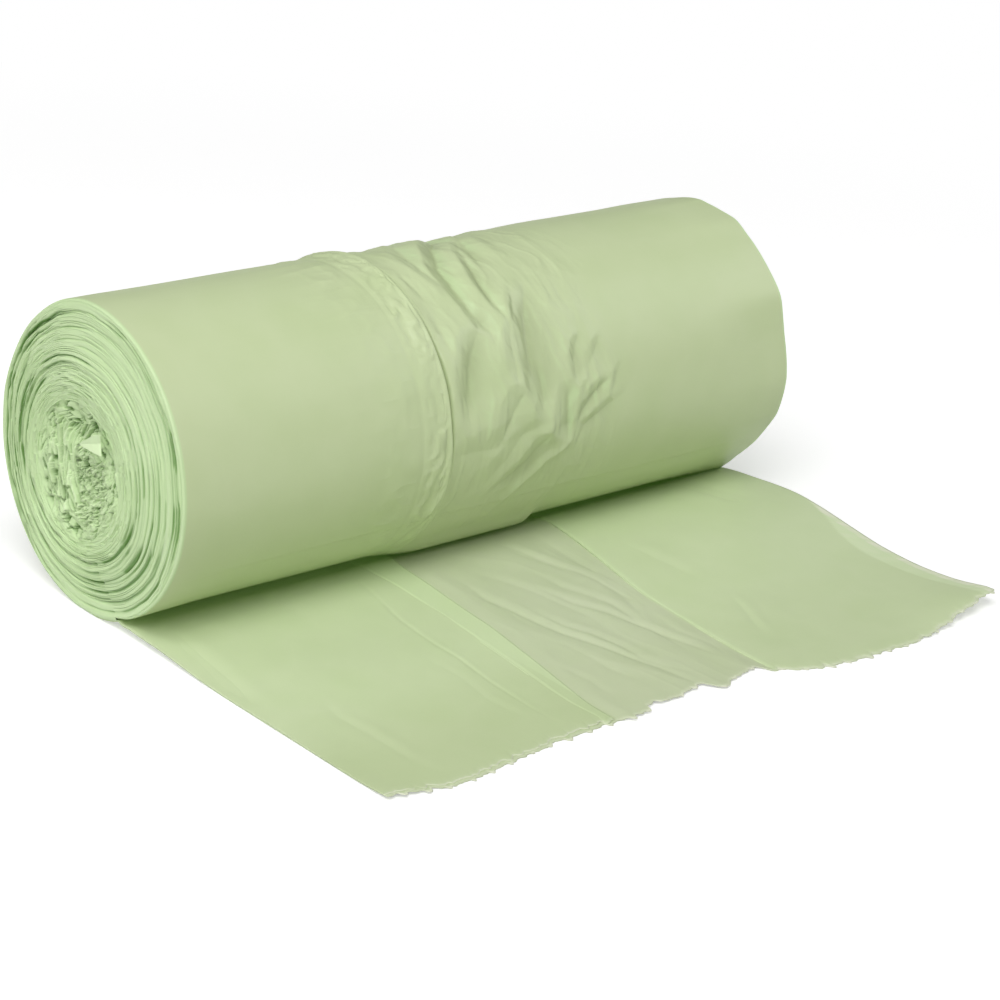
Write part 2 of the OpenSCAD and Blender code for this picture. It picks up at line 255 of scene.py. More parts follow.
def give(piece, name, values):
    """Keeps a value at each point of the piece, for its material."""
    attribute = piece.data.attributes.new(name, "FLOAT", "POINT")
    attribute.data.foreach_set("value", np.ascontiguousarray(values, np.float32).ravel())


def film_sheet(name, grid, thickness):
    """A sheet of film: the grid is its upper face, its lower face lies a thickness behind along the
    normals, which are the cross product of the grid's two directions, and one band of faces closes
    it all round."""
    rows, columns = grid.shape[:2]
    normals = np.cross(np.gradient(grid, axis=0), np.gradient(grid, axis=1))
    normals /= np.maximum(np.linalg.norm(normals, axis=-1, keepdims=True), 1e-9)
    lower = grid - normals * thickness
    points = np.concatenate([grid.reshape(-1, 3), lower.reshape(-1, 3)])
    count = rows * columns
    top = grid_faces(rows, columns)
    rim = np.concatenate([
        np.arange(columns), np.arange(2 * columns - 1, count, columns),
        np.arange(count - 2, count - columns - 1, -1), np.arange(count - 2 * columns, 0, -columns)])
    following = np.roll(rim, -1)
    edge = np.stack([following, rim, rim + count, following + count], -1)
    return add_mesh(name, points, np.concatenate([top, top[:, ::-1] + count, edge]))


def double(values):
    """A value of a sheet's grid for both of its faces."""
    return np.concatenate([values.ravel(), values.ravel()])


# The wound film

# Out of round at the ends, as (angle, radius). The right end's outer turns are pressed into flats.
RIGHT_RIM = [
    (-20, 55), (30, 55.2), (60, 56.2), (85, 54.3), (110, 56.4), (130, 54.5), (150, 55.8), (165, 55.3),
    (176, 56.2), (180, 56.4), (184, 56), (192, 56.1), (196, 56.5), (200, 57), (204, 56.5), (208, 55.8),
    (214, 55.3), (222, 55.1), (228, 55.3), (232, 55.6), (236, 55.9), (240, 55.5), (244, 54.6), (248, 54),
    (253, 53.6), (260, 54), (264, 54.4), (272, 55.2), (280, 55.1), (288, 55), (292, 54.3), (296, 53.7),
    (302, 53.2), (312, 53), (320, 53.2), (326, 54.2), (332, 55.2), (345, 55.6),
]
LEFT_RIM = [
    (-20, 55), (40, 55.3), (60, 54.9), (80, 54.7), (90, 54.2), (100, 54.4), (112, 53.8), (120, 53.7),
    (130, 54), (145, 54.3), (155, 55), (165, 55.7), (175, 56), (200, 55.6), (240, 55.3), (280, 55),
    (320, 54.6), (345, 54.4),
]
# How far the rims' shapes reach along the roll
RIGHT_REACH = 42.0
LEFT_REACH = 30.0

# The two rings where the left side's inner edge and the band beside it come round
RING_A = -41.8
RING_B = -29.6

# Hollows at the rear of the gathers, as (place along the axis, reach, depth)
REAR_HOLLOWS = [(-12, 7, 1.1), (3, 8, 0.2), (12, 5, 0.5), (18, 3.5, 1.4), (-28, 6, 0.6)]

# Pleats seen on the roll, in the form that pleats() takes without the steep side, with points as
# (distance along the axis, angle, share)
ROLL_PLEATS = [
    (0.9, 0.7, 3, 5, 6, [(1, 158, 0.3), (-9, 176, 0.8), (-12.5, 187, 1), (-13, 195, 1), (-12.5, 201, 0.8),
        (-12.5, 206, 0.5), (-13, 212, 0.05)]),
    (0.35, 0.3, 1.2, 2, 2, [(-24, 194, 0.1), (-24.5, 198, 0.8), (-23.5, 203, 1), (-23, 208, 0.9),
        (-23.5, 212, 0.1)]),
    (1.5, 1.1, 3.4, 3.8, 6, [(19, 158, 0.2), (14.5, 165, 0.7), (4, 179, 0.95), (-4, 193, 1.1),
        (-5.5, 201, 1.1), (-6.5, 206, 1), (-7, 213, 0.75), (-6.5, 219, 0.6), (-4.5, 224, 0.7),
        (-2.5, 230, 0.1)]),
    (0.95, 0.8, 2.4, 4, 6, [(18, 176, 0.4), (12, 186, 0.7), (8, 198, 1), (6, 206, 1), (5.5, 213, 0.95),
        (5.5, 219, 0.8), (6, 226, 0.05)]),
    (0.6, 0.5, 1.7, 3.5, 4, [(28, 163, 0.3), (21, 174, 0.7), (16.5, 185, 1), (14.5, 192, 1),
        (13, 199, 0.05)]),
    (0.3, 0.25, 2.4, 5, 5, [(31, 170, 0.3), (29, 180, 1), (28, 189, 0.9), (28.5, 196, 0.05)]),
    (0.22, 0.2, 2, 4, 4, [(30.5, 210, 0.1), (32, 219, 1), (34, 227, 0.05)]),
    (0.22, 0.2, 2, 4, 4, [(35.5, 212, 0.1), (36, 220, 1), (38, 228, 0.05)]),
    (0.5, 0.45, 2, 3, 3, [(17, 209, 0.05), (13.5, 217, 0.8), (11, 223, 0.9), (7.5, 227, 0.1)]),
    (1.35, 1.1, 4.3, 8, 6, [(23.5, 210, 0.05), (19.5, 217, 0.6), (16.5, 224, 1), (13.5, 233, 1.05),
        (12, 241, 1), (12, 248, 0.85), (12.5, 254, 0.65), (14.5, 261, 0.45), (16, 265, 0.05)]),
    (0.9, 0.7, 3, 5, 5, [(7.5, 224, 0.05), (5.5, 231, 0.8), (4, 238, 1), (3, 245, 0.9), (2.5, 251, 0.05)]),
    (1.3, 1.1, 4.8, 7, 7, [(-6, 224, 0.05), (-10.5, 231, 0.7), (-13.5, 235, 1), (-16, 240, 1.1),
        (-18, 246, 1), (-19.5, 251, 0.8), (-20, 257, 0.5), (-19, 265, 0.05)]),
    (1.3, 1.1, 5, 4.5, 6, [(7, 252, 0.05), (3, 256, 0.8), (0.5, 260, 1), (-1.5, 264, 0.9), (-4, 268, 0.5),
        (-6.5, 272, 0.05)]),
    (1.2, 1.1, 5, 3.5, 4.5, [(25.5, 252, 0.05), (26.5, 258, 0.6), (26.5, 264, 0.9), (27, 269, 1.15),
        (27.5, 276, 0.3)]),
    (0.75, 0.6, 2.3, 4, 4, [(38, 235, 0.05), (34, 240, 0.8), (32, 245, 1), (32, 251, 0.8),
        (32.5, 258, 0.05)]),
    (0.4, 0.3, 1.5, 2, 2, [(38, 249, 0.1), (38.5, 253, 1), (38.5, 258, 0.1)]),
    (0.45, 0.35, 1.6, 2.2, 2.2, [(37, 253, 0.1), (34.5, 257, 1), (31.5, 262, 0.1)]),
    (0.85, 0.7, 2.4, 3.5, 4, [(48.5, 254, 0.05), (42.5, 257, 0.9), (37.5, 261, 1), (34.5, 264, 0.9),
        (32.5, 269, 0.8), (31, 274, 0.5), (30.5, 278, 0.05)]),
    (0.5, 0.4, 2, 3.5, 3.5, [(58, 258, 0.05), (49.5, 264, 0.8), (41.5, 268, 0.9), (35.5, 272, 1),
        (32, 282, 0.1)]),
    (0.55, 0.4, 1.8, 2.8, 2.8, [(54.5, 249, 0.1), (52, 254, 1), (49.5, 259, 0.8), (48, 263, 0.05)]),
    (0.45, 0.35, 2.2, 3.5, 3.5, [(48, 236, 0.05), (44, 241, 0.8), (40.5, 245, 0.8), (37.5, 250, 0.1)]),
    (0.45, 0.35, 1.6, 3, 2, [(14.5, 244, 0.1), (14.5, 249, 0.8), (14.5, 255, 0.8), (15.5, 262, 0.1)]),
    (0.1, 0.85, 5, 7, 8, [(17.5, 266, 0.1), (11, 268, 0.8), (6, 270, 1), (0.5, 271, 1), (-6.5, 272, 1),
        (-13, 272, 1), (-20.5, 272, 0.9), (-28, 271, 0.2)]),
    (0.65, 0.5, 3, 5, 5, [(20.5, 268, 0.05), (15, 275, 0.8), (11, 280, 1), (5.5, 285, 0.9), (1, 289, 0.7),
        (-6, 294, 0.1)]),
    (0.45, 0.4, 3.8, 5, 5, [(7, 267, 0.05), (2, 274, 0.8), (-3.5, 281, 1), (-9.5, 289, 0.1)]),
    (0.35, 0.3, 1.5, 3, 2, [(-16, 257, 0.1), (-15, 264, 1), (-14, 271, 0.2)]),
    (0.3, 0.25, 2, 4, 4, [(-22.5, 213, 0.1), (-23.5, 220, 0.9), (-24, 229, 0.9), (-24, 238, 0.1)]),
]
# Plain valleys among them, as (depth, width, points)
ROLL_VALLEYS = [
    (-1.1, 1.5, [(31.5, 269, 0.05), (29, 276, 0.8), (24.5, 280, 1), (18.5, 284, 1), (13.5, 289, 0.9),
        (8.5, 294, 0.8), (5, 300, 0.7), (2, 307, 0.5), (3, 325, 0.05)]),
    (0.6, 3.6, [(23.5, 274, 0.05), (18.5, 280, 1), (12, 285, 1), (6, 290, 0.8), (0.5, 297, 0.1)]),
]


def rear_pleats(count=26, seed=5):
    """Pleats for the side that faces away: short bent lines at random over the gathers."""
    rng = np.random.default_rng(seed)
    folds = []
    for _ in range(count):
        x, angle = rng.uniform(-22, 44), rng.uniform(34, 150)
        drift, reach, bend = rng.uniform(-0.5, 0.5), rng.uniform(11, 26), rng.uniform(-4, 4)
        points = [(x + drift * a * reach * 0.6 + bend * (1 - a * a), angle + a * reach, k)
                  for a, k in ((-1, 0.05), (-0.4, 1), (0.2, 1), (1, 0.05))]
        size = rng.uniform(0.3, 0.75)
        folds.append((rng.choice([-1, 1]), size, 0.8 * size, 0.7 + 1.4 * size, 4.5, 4.5, points))
    return folds


def all_pleats():
    """Every pleat and valley of the roll, with its angles turned into distances round it."""
    folds = [(1, *fold) for fold in ROLL_PLEATS]
    folds += [(0, depth, 0, width, 0, 0, points) for depth, width, points in ROLL_VALLEYS]
    return [(*shape, [(x, R * np.radians(angle), share) for x, angle, share in points])
            for *shape, points in folds + rear_pleats()]


def outside_radius(angle):
    """Radius of the film on the outside. It lies inside the loose end up to the flat spot, and again
    where the web comes round to the nip, and is full in between."""
    turn = (angle + NIP) / 360
    inside = WEB_T * ramp((-1.0 - wrap(angle)) / 6) * (np.abs(wrap(angle)) < 60)
    inside = np.maximum(inside, (WEB_T + 0.05) * ramp((turn - 0.72) / 0.26))
    return R + 0.3 * beyond(angle, 0, 12, 30) - inside


def rim_shape(x, angle):
    """How far the winding is out of round: the rims' tables of radius, fading away from each end."""
    plain = outside_radius(angle)
    right = smooth_table(angle, RIGHT_RIM, 1.6) - plain
    left = smooth_table(angle, LEFT_RIM, 4.0) - plain
    right = right + 0.35 * ramp((angle - 205) / 10) * ramp((318 - angle) / 15)
    fade_r = ramp(1 - (HALF_W - x) / RIGHT_REACH) ** 0.9
    fade_l = ramp(1 - (x + HALF_W) / LEFT_REACH)
    return beyond(angle, 0, 20, 10) * (right * fade_r + left * fade_l)


def ring_line(s, at, seed):
    """Place along the axis of a ring fold, which wanders a little on its way round."""
    return at + 0.5 * np.sin(s / 26 + seed) + 0.35 * noise(s / 13, 0.5, seed)


def roll_height(x, angle):
    """Height of the film over the plain winding: two ring folds, the gathers between them and the
    right side, the pleats, and faint dents on the smooth sides. Also gives the painted shade of the folds."""
    s = R * np.radians(angle)
    free = beyond(angle, 0, 26, 40)
    past_b = x - ring_line(s, RING_B, 3)
    past_a = x - ring_line(s, RING_A, 4)

    # The folded edge at the inner ring: the side stands over the middle with a crisp lip and a
    # narrow gap beyond it
    crack = 0.7 + 0.3 * ramp((noise(s / 30, 0.4, 7) + 0.5) / 0.6)
    crack = crack * hump(past_b - 0.6, 0.65) * ramp((292 - angle) / 30)
    lip = 1.4 * ramp((past_b + 12) / 11.5) * ramp((0.3 - past_b) / 0.6) - 1.5 * crack
    soft_a = 0.22 * hump(past_a - 1.8, 1.6) - 0.3 * hump(past_a + 0.2, 1.0) + 0.15 * hump(past_a + 9, 7)
    band = ramp((past_a - 0.5) / 2.5) * ramp((-past_b - 0.6) / 2.0)
    crumple = ridged((x + 0.12 * s) / 5 + 0.7 * noise(x / 6, s / 9, 5),
                     (s + 1.1 * x) / 13 + 0.6 * noise(x / 4, s / 6, 6), 8)
    crumple = band * (1.5 * crumple - 0.8)

    # The middle is slacker: it sinks a little, swells in soft folds along the winding, is hollow at
    # the rear, and sags where it comes round to the nip
    middle = ramp((past_b - 0.6) / 6) * ramp((58 - x) / 26)
    slack = middle * (0.45 * fbm((x + 0.35 * s) / 24, s / 46, 11, octaves=2) - 0.25)
    hollows = sum(depth * hump(x - at, reach) for at, reach, depth in REAR_HOLLOWS)
    slack = slack - middle * hollows * hump(wrap(angle - 160), 26)
    slack = slack - 0.7 * hump(x - 38, 7) * ramp((angle - 300) / 14)
    sag = ramp((x + 44) / 26) * ramp((35 - x) / 6) * ramp((angle - 314) / 12) * ramp((341 - angle) / 8)

    # Soft folds large and small, and the pleats, whose lines are pushed about a little
    reach = ramp((past_b + 0.2) / 3) * ramp((66 - x) / 22)
    large = ridged((x + 4 * noise(x / 15, s / 20, 21)) / 12,
                   (s + 7 * noise(x / 15, s / 20, 22)) / 34, 23)
    large = (0.5 + 0.45 * beyond(angle, 250, 78, 30)) * (large - 0.5)
    small = ridged((x + 3 * noise(x / 9, s / 12, 34)) / 6.5, (s - 0.5 * x) / 17, 35, octaves=2)
    small = 0.42 * ramp((60 - x) / 20) * (small - 0.55)
    pressed = reach * (small + pleats(x + 0.45 * noise(x / 7, s / 9, 31),
                                      s + 0.7 * noise(x / 9, s / 9, 32), all_pleats()))

    # Faint dents and tension lines on the smooth sides
    smooth = (ramp((-past_a - 2) / 26) * ramp((x + HALF_W) / 18)
              + ramp((x - 50) / 20) * ramp((HALF_W - x) / 18))
    dents = 0.14 * smooth * fbm(x / 34, s / 30, 41, octaves=2)
    near_a = hump(past_a + 8, 9) * ramp(-past_a / 2)
    fan = hump(past_a + 16, 18) * ramp((-past_a - 1) / 3) * hump(wrap(angle - 196), 24)
    low = hump(past_a + 17, 11) * hump(wrap(angle - 250), 22)
    tension = [(0.55 * near_a, x / 9, s / 9, 43),
               (0.75 * fan, (x + 0.2 * s) / 34, (s + 0.22 * x) / 7.5, 44),
               (0.7 * low, (x - 0.1 * s) / 17, (s + 0.3 * x) / 11, 46)]
    ticks = sum(share * (ridged(u, v, seed, octaves=2) - 0.5) for share, u, v, seed in tension)

    height = lip + soft_a + crumple + slack + reach * large + pressed + dents + ticks
    # Painted shade: darker in the pleats' valleys and in the crack beyond the inner ring
    shade = np.clip(0.45 * ramp(-pressed / 2.0) + 0.9 * crack, 0, 1)
    return free * height + 2.5 * sag, free * shade


def wound_film():
    """The film round the outside, from the nip once round to the nip: a point at (x, angle) lies at
    the winding's radius plus the film's height over it. The rims roll inwards in a quarter round."""
    x = stations(-HALF_W + 0.5, (3, -HALF_W + 3), (17, -62), (29, -33), (27, -27), (131, 60),
                 (21, HALF_W - 3), (3, HALF_W - 0.5))
    angle = stations(-NIP, (105, 150), (279, 325), (11, 360 - NIP))
    x_grid, angle_grid = np.meshgrid(x, angle, indexing="ij")
    height, shade = roll_height(x_grid, angle_grid)
    radius = outside_radius(angle_grid) + rim_shape(x_grid, angle_grid) + height
    floor_limit = (AXIS_Z - 0.1) / np.maximum(np.cos(np.radians(angle_grid)), 0.2)
    radius = np.where(np.abs(wrap(angle_grid)) < 30, np.minimum(radius, floor_limit), radius)
    steps = np.radians([25, 50, 72, 90])
    rims = []
    for end in (0, -1):
        sign = np.sign(x[end])
        ring_x = np.append(x[end] + sign * 0.8 * np.sin(steps), x[end] - sign * 1.2)
        ring_r = radius[end][None, :] - np.append(0.9 * (1 - np.cos(steps)), 1.5)[:, None]
        rims.append((np.repeat(ring_x[:, None], angle.size, 1), ring_r))
    x_all = np.concatenate([rims[0][0][::-1], x_grid, rims[1][0]])
    r_all = np.concatenate([rims[0][1][::-1], radius, rims[1][1]])
    angle_all = np.broadcast_to(angle, x_all.shape)
    a = np.radians(angle_all)
    points = np.stack([x_all, r_all * np.sin(a), AXIS_Z - r_all * np.cos(a)], -1)
    piece = add_mesh("wound_film", points.reshape(-1, 3), grid_faces(*points.shape[:2]))

    # Painted highlight on slopes that face left, which catch the light, and painted shade on those that
    # face right
    bare = np.zeros((steps.size + 1, angle.size))
    slope = np.gradient(height, x, axis=0)
    between = ramp((x_grid + 28) / 3) * ramp((66 - x_grid) / 8)
    glint = 0.5 * ramp((slope - 0.16) / 0.4) * between
    shade = np.maximum(shade, 0.5 * ramp((-slope - 0.2) / 0.45) * between)
    rim = ramp((np.abs(x_grid) - HALF_W + 1.2) / 0.6)
    # pocket is painted shade; mint is a painted highlight, and the film's mint at the rims
    give(piece, "pocket", np.concatenate([bare, shade, bare]))
    give(piece, "mint", np.concatenate([bare + 1, np.maximum(glint, rim), bare + 1]))
    # A painted glow near the nip, for the light that comes through the film
    give(piece, "under", 0.8 * ramp((angle_all - 306) / 32))
    return piece


# The ends of the roll

# Grooves between groups of turns: radius, middle angle, half its length in degrees, depth, half width
LEFT_GROOVES = [
    (53.2, 250, 80, 1.3, 0.2), (52.2, 236, 90, 1, 0.18), (51, 262, 75, 1.3, 0.22), (49, 222, 50, 0.6, 0.18),
    (47.6, 270, 60, 0.7, 0.25), (46.2, 238, 46, 0.5, 0.18), (44.9, 276, 52, 0.9, 0.26),
    (43, 250, 40, 0.5, 0.18), (41.8, 288, 58, 0.9, 0.28), (40.1, 244, 60, 0.7, 0.2),
    (38.4, 282, 60, 0.9, 0.26), (36.6, 248, 66, 0.8, 0.22), (34.4, 262, 70, 0.8, 0.24),
    (32, 280, 60, 0.7, 0.25), (52.4, 104, 78, 2.2, 0.42), (49.8, 100, 66, 1.9, 0.36),
    (47.2, 66, 40, 1.3, 0.4), (44.4, 92, 44, 1.3, 0.38), (51.6, 36, 30, 1.6, 0.42),
    (51.2, 140, 40, 1.1, 0.26), (38.4, 98, 36, 1.8, 0.42), (41.6, 60, 40, 1.2, 0.4),
    (36, 92, 34, 1.6, 0.42), (33.2, 110, 40, 1.3, 0.4), (53.4, 66, 40, 1.2, 0.35),
    (48.6, 190, 34, 0.5, 0.22), (47.4, 160, 28, 0.8, 0.25), (45.3, 196, 30, 0.45, 0.22),
    (43.8, 176, 30, 0.5, 0.25), (41.5, 200, 36, 0.7, 0.22), (35.7, 144, 40, 1.4, 0.34),
    (38, 164, 40, 1.2, 0.28), (37, 108, 30, 1.2, 0.28), (48, 318, 44, 0.9, 0.55), (44.4, 322, 48, 1.1, 0.6),
    (40.4, 326, 46, 1.2, 0.65), (36.6, 330, 44, 1, 0.6), (50.8, 330, 40, 0.9, 0.5),
    (33.4, 322, 50, 1.2, 0.5), (30.6, 40, 40, 1.4, 0.4), (34.2, 20, 50, 1, 0.3), (42.2, 20, 46, 1, 0.3),
    (46.4, 10, 50, 0.9, 0.28),
]
RIGHT_GROOVES = [
    (53.2, 100, 70, 0.9, 0.22), (51.8, 240, 60, 1.4, 0.36), (50, 130, 60, 0.7, 0.22),
    (47.5, 60, 60, 0.8, 0.25), (45.2, 200, 50, 1, 0.28), (43.4, 110, 50, 0.7, 0.22),
    (41, 300, 60, 0.9, 0.26), (38.6, 160, 60, 0.9, 0.24), (36, 240, 50, 2.2, 0.4), (34, 60, 70, 0.9, 0.24),
    (48.8, 320, 40, 1.2, 0.8), (44.2, 330, 44, 1.4, 1), (31.5, 120, 60, 0.8, 0.25), (52.6, 10, 40, 1, 0.26),
]
# Radius of the crumpled centre
CORE_R = 25.0

# Pockets in the left end's crumpled centre, sunk in and darkened with painted shade: where they
# are, and half their width and height, and where the centre lies among them
LEFT_POCKETS = [
    (2.5, 66.3, 3.4, 1.5), (27.3, 60.5, 0.8, 3.5), (24.4, 48.2, 1.8, 1.3), (24.6, 42, 1, 1.4),
    (24, 34, 0.9, 2.4), (17.8, 35.5, 0.9, 4), (15.9, 28.2, 0.9, 2.2), (6.5, 51, 1.6, 1.5),
    (6.2, 44, 0.8, 3), (-4.7, 47.4, 1.6, 0.9), (-1.5, 37.6, 2.2, 0.7), (11.7, 26, 0.8, 1.6),
    (18.5, 68, 2.6, 0.8), (13, 64.5, 3, 0.7),
]
POCKETS_FROM = (10.0, 48.0)


def end_centre(side):
    """Where the crumpled centre lies, off the axis: towards the rear and up, in millimetres."""
    return (10.0, -6.7) if side < 0 else (-5.0, 3.5)


def end_place(side, radius, angle):
    """A point of an end face. The turns are round the axis at the rim, and round the crumpled
    centre further in, so the centre moves with the share of the way in."""
    inward = np.clip((R - radius) / (R - CORE_R), 0, 1) ** 1.15
    off_y, off_z = end_centre(side)
    a = np.radians(angle)
    return radius * np.sin(a) + off_y * inward, AXIS_Z - radius * np.cos(a) + off_z * inward


def spiral_mesh(name, side, turns, per_turn, out, y, z):
    """A strip carried inwards along a spiral: each station's points join the next station's, and the
    last of them joins the first point one turn further in."""
    count, strands = out.shape
    points = np.stack([side * out, y, z], -1).reshape(-1, 3)
    n = np.arange(turns * per_turn)[:, None]
    c = np.arange(strands)[None, :]
    here = n * strands + c
    inwards = np.where(c < strands - 1, here + 1, (n + per_turn) * strands)
    ahead_in = np.where(c < strands - 1, here + strands + 1, (n + 1 + per_turn) * strands)
    faces = np.stack([here, here + strands, ahead_in, inwards], -1)
    faces = faces[np.broadcast_to((n + 1 + per_turn) < count, here.shape)]
    return add_mesh(name, points, faces if side < 0 else faces[:, ::-1])


def core_drop(radius):
    """How far the end has sunk in by the time it reaches the crumpled centre."""
    return 1.2 * ramp((28.5 - radius) / 3.5)


def end_level(side, radius, angle):
    """Height of an end by radius and angle: a shallow dish, turns in groups that stand out by
    different amounts, a ledge round the inner turns, and the grooves. Also gives the painted shade of the
    grooves."""
    seed = 500 if side < 0 else 520
    a = np.radians(angle)
    y, z = radius * np.sin(a), -radius * np.cos(a)
    rho = radius + 0.8 * noise(y / 24, z / 24, seed) + 0.25 * noise(y / 7, z / 7, seed + 1)
    groups = 0.55 * noise(rho / 2.6, 0.2, seed + 2) + 0.25 * noise(rho / 1.1, 0.7, seed + 3)
    level = groups * (0.6 + 0.4 * noise(y / 30, z / 30, seed + 4))
    level = level + 0.4 * fbm(y / 24, z / 24, seed + 5, octaves=2)
    ledge = 0.5 + 0.5 * within(angle, 150 if side < 0 else 220, 120, 80)
    level = level - 0.9 * ledge * ramp((36.0 - rho) / 0.6) - 0.5 * ramp((30 - rho) / 2.5)
    dark = 0 * radius
    for number, (at, middle, half, depth, width) in enumerate(LEFT_GROOVES if side < 0 else RIGHT_GROOVES):
        # Deep grooves near the rim are kinked; all sway and come and go, and painted shade falls on
        # the side of each that the light misses
        kink = 0.5 * np.abs(wrap(angle * 24 + 90 * number)) / 180 if depth > 1.7 and at > 45 else 0
        off = rho - at + kink + 0.3 * np.sin(2 * a + number)
        window = within(angle, middle, half, 0.55 * half)
        window = window * (0.55 + 0.45 * ramp((noise(angle / 13, number + 0.5, seed + 6) + 0.4) / 0.5))
        groove = 0.8 * np.exp(-(np.abs(off) / width) ** 1.5) + 0.25 * hump(off, 3.2 * width)
        level = level - window * depth * groove
        broad = width * (0.8 + 0.8 * np.abs(np.sin(a)))
        seen = np.abs(off - 0.45 * np.sin(a) * min(depth / 1.5, 1))
        dark = np.maximum(dark, window * min(depth, 1.3) * np.exp(-(seen / broad) ** 1.5))
    return level, dark


def end_turns(side):
    """The turns that show on an end: two rounded film folds a turn, four points each, carried
    inwards along one spiral. They lie on the end's level, each standing out by its own height, and
    between them run grooves that are hardly seen at the front and broken into deep dashes at the
    rear and further in."""
    turns, per_turn, seed = (25, 470, 100) if side < 0 else (25, 330, 200)
    whole = np.arange((turns + 1) * per_turn)[:, None] / per_turn
    u = whole + np.array([0.0, 0.1, 0.25, 0.4, 0.5, 0.6, 0.75, 0.9])[None, :]
    angle = np.broadcast_to((whole * 360) % 360 - NIP, u.shape)
    start = R - 0.62
    pitch = (start - WEB_T - CORE_R) / (turns - 1)
    radius = np.where(u < 1, start - WEB_T * ramp((u - 0.72) / 0.28), start - WEB_T - pitch * (u - 1))
    rear = np.maximum(within(angle, 96, 72, 35), 0.8 * ramp((38 - radius) / 6))

    fold = np.floor(2 * u + 1e-6)
    lip = np.tile([0.0, 0.85, 1.0, 0.85], 2)[None, :]
    own = (0.10 + 0.18 * rear) * noise(fold * 1.37, whole * 3.0, seed) \
        + (0.03 + 0.12 * rear) * noise(fold * 2.9, whole * 30, seed + 1)
    dash = ramp((noise(fold * 3.7, whole * 30, seed + 2) - 0.08) / 0.22)
    long_line = ramp((noise(fold * 5.1, whole * 3.5, seed + 3) - 0.08) / 0.3)
    calm = 1 - 0.6 * hump(wrap(angle - 182), 42) * ramp((radius - 38) / 4)
    depth = 0.05 + 0.8 * (1 - 0.6 * rear) * long_line * calm + rear * (0.12 + 1.15 * dash)
    notch = rear * ramp((noise(fold * 2.1, whole * 60, seed + 5) - 0.35) / 0.2)
    rim = ramp((R - 0.6 - radius) / 1.3)
    level, dark = end_level(side, radius, angle)
    out = HALF_W + 0.3 + rim * (level + own - 0.45 * notch) - (1 - lip) * np.clip(depth, 0.05, 1.6)
    out = out - core_drop(radius)
    jitter = 0.12 * noise(fold * 2.3, whole * 24, seed + 10) * (0.15 + rear)
    y, z = end_place(side, radius + jitter * rim, angle)
    grow = 1 + rim_shape(np.full(radius.shape, side * HALF_W), angle) * ramp((radius - 36) / 18) / R
    y, z = y * grow, AXIS_Z + (z - AXIS_Z) * grow
    z = np.where(np.abs(wrap(angle)) < 30, np.maximum(z, 0.35), z)
    piece = spiral_mesh("end_turns_" + SIDE_NAMES[side], side, turns, per_turn, out, y, z)
    # Painted shade in the grooves, and on their sides that the light misses
    give(piece, "pocket", np.clip(np.maximum((1 - lip) * np.clip(depth, 0, 1.2), dark), 0, 1))
    return piece


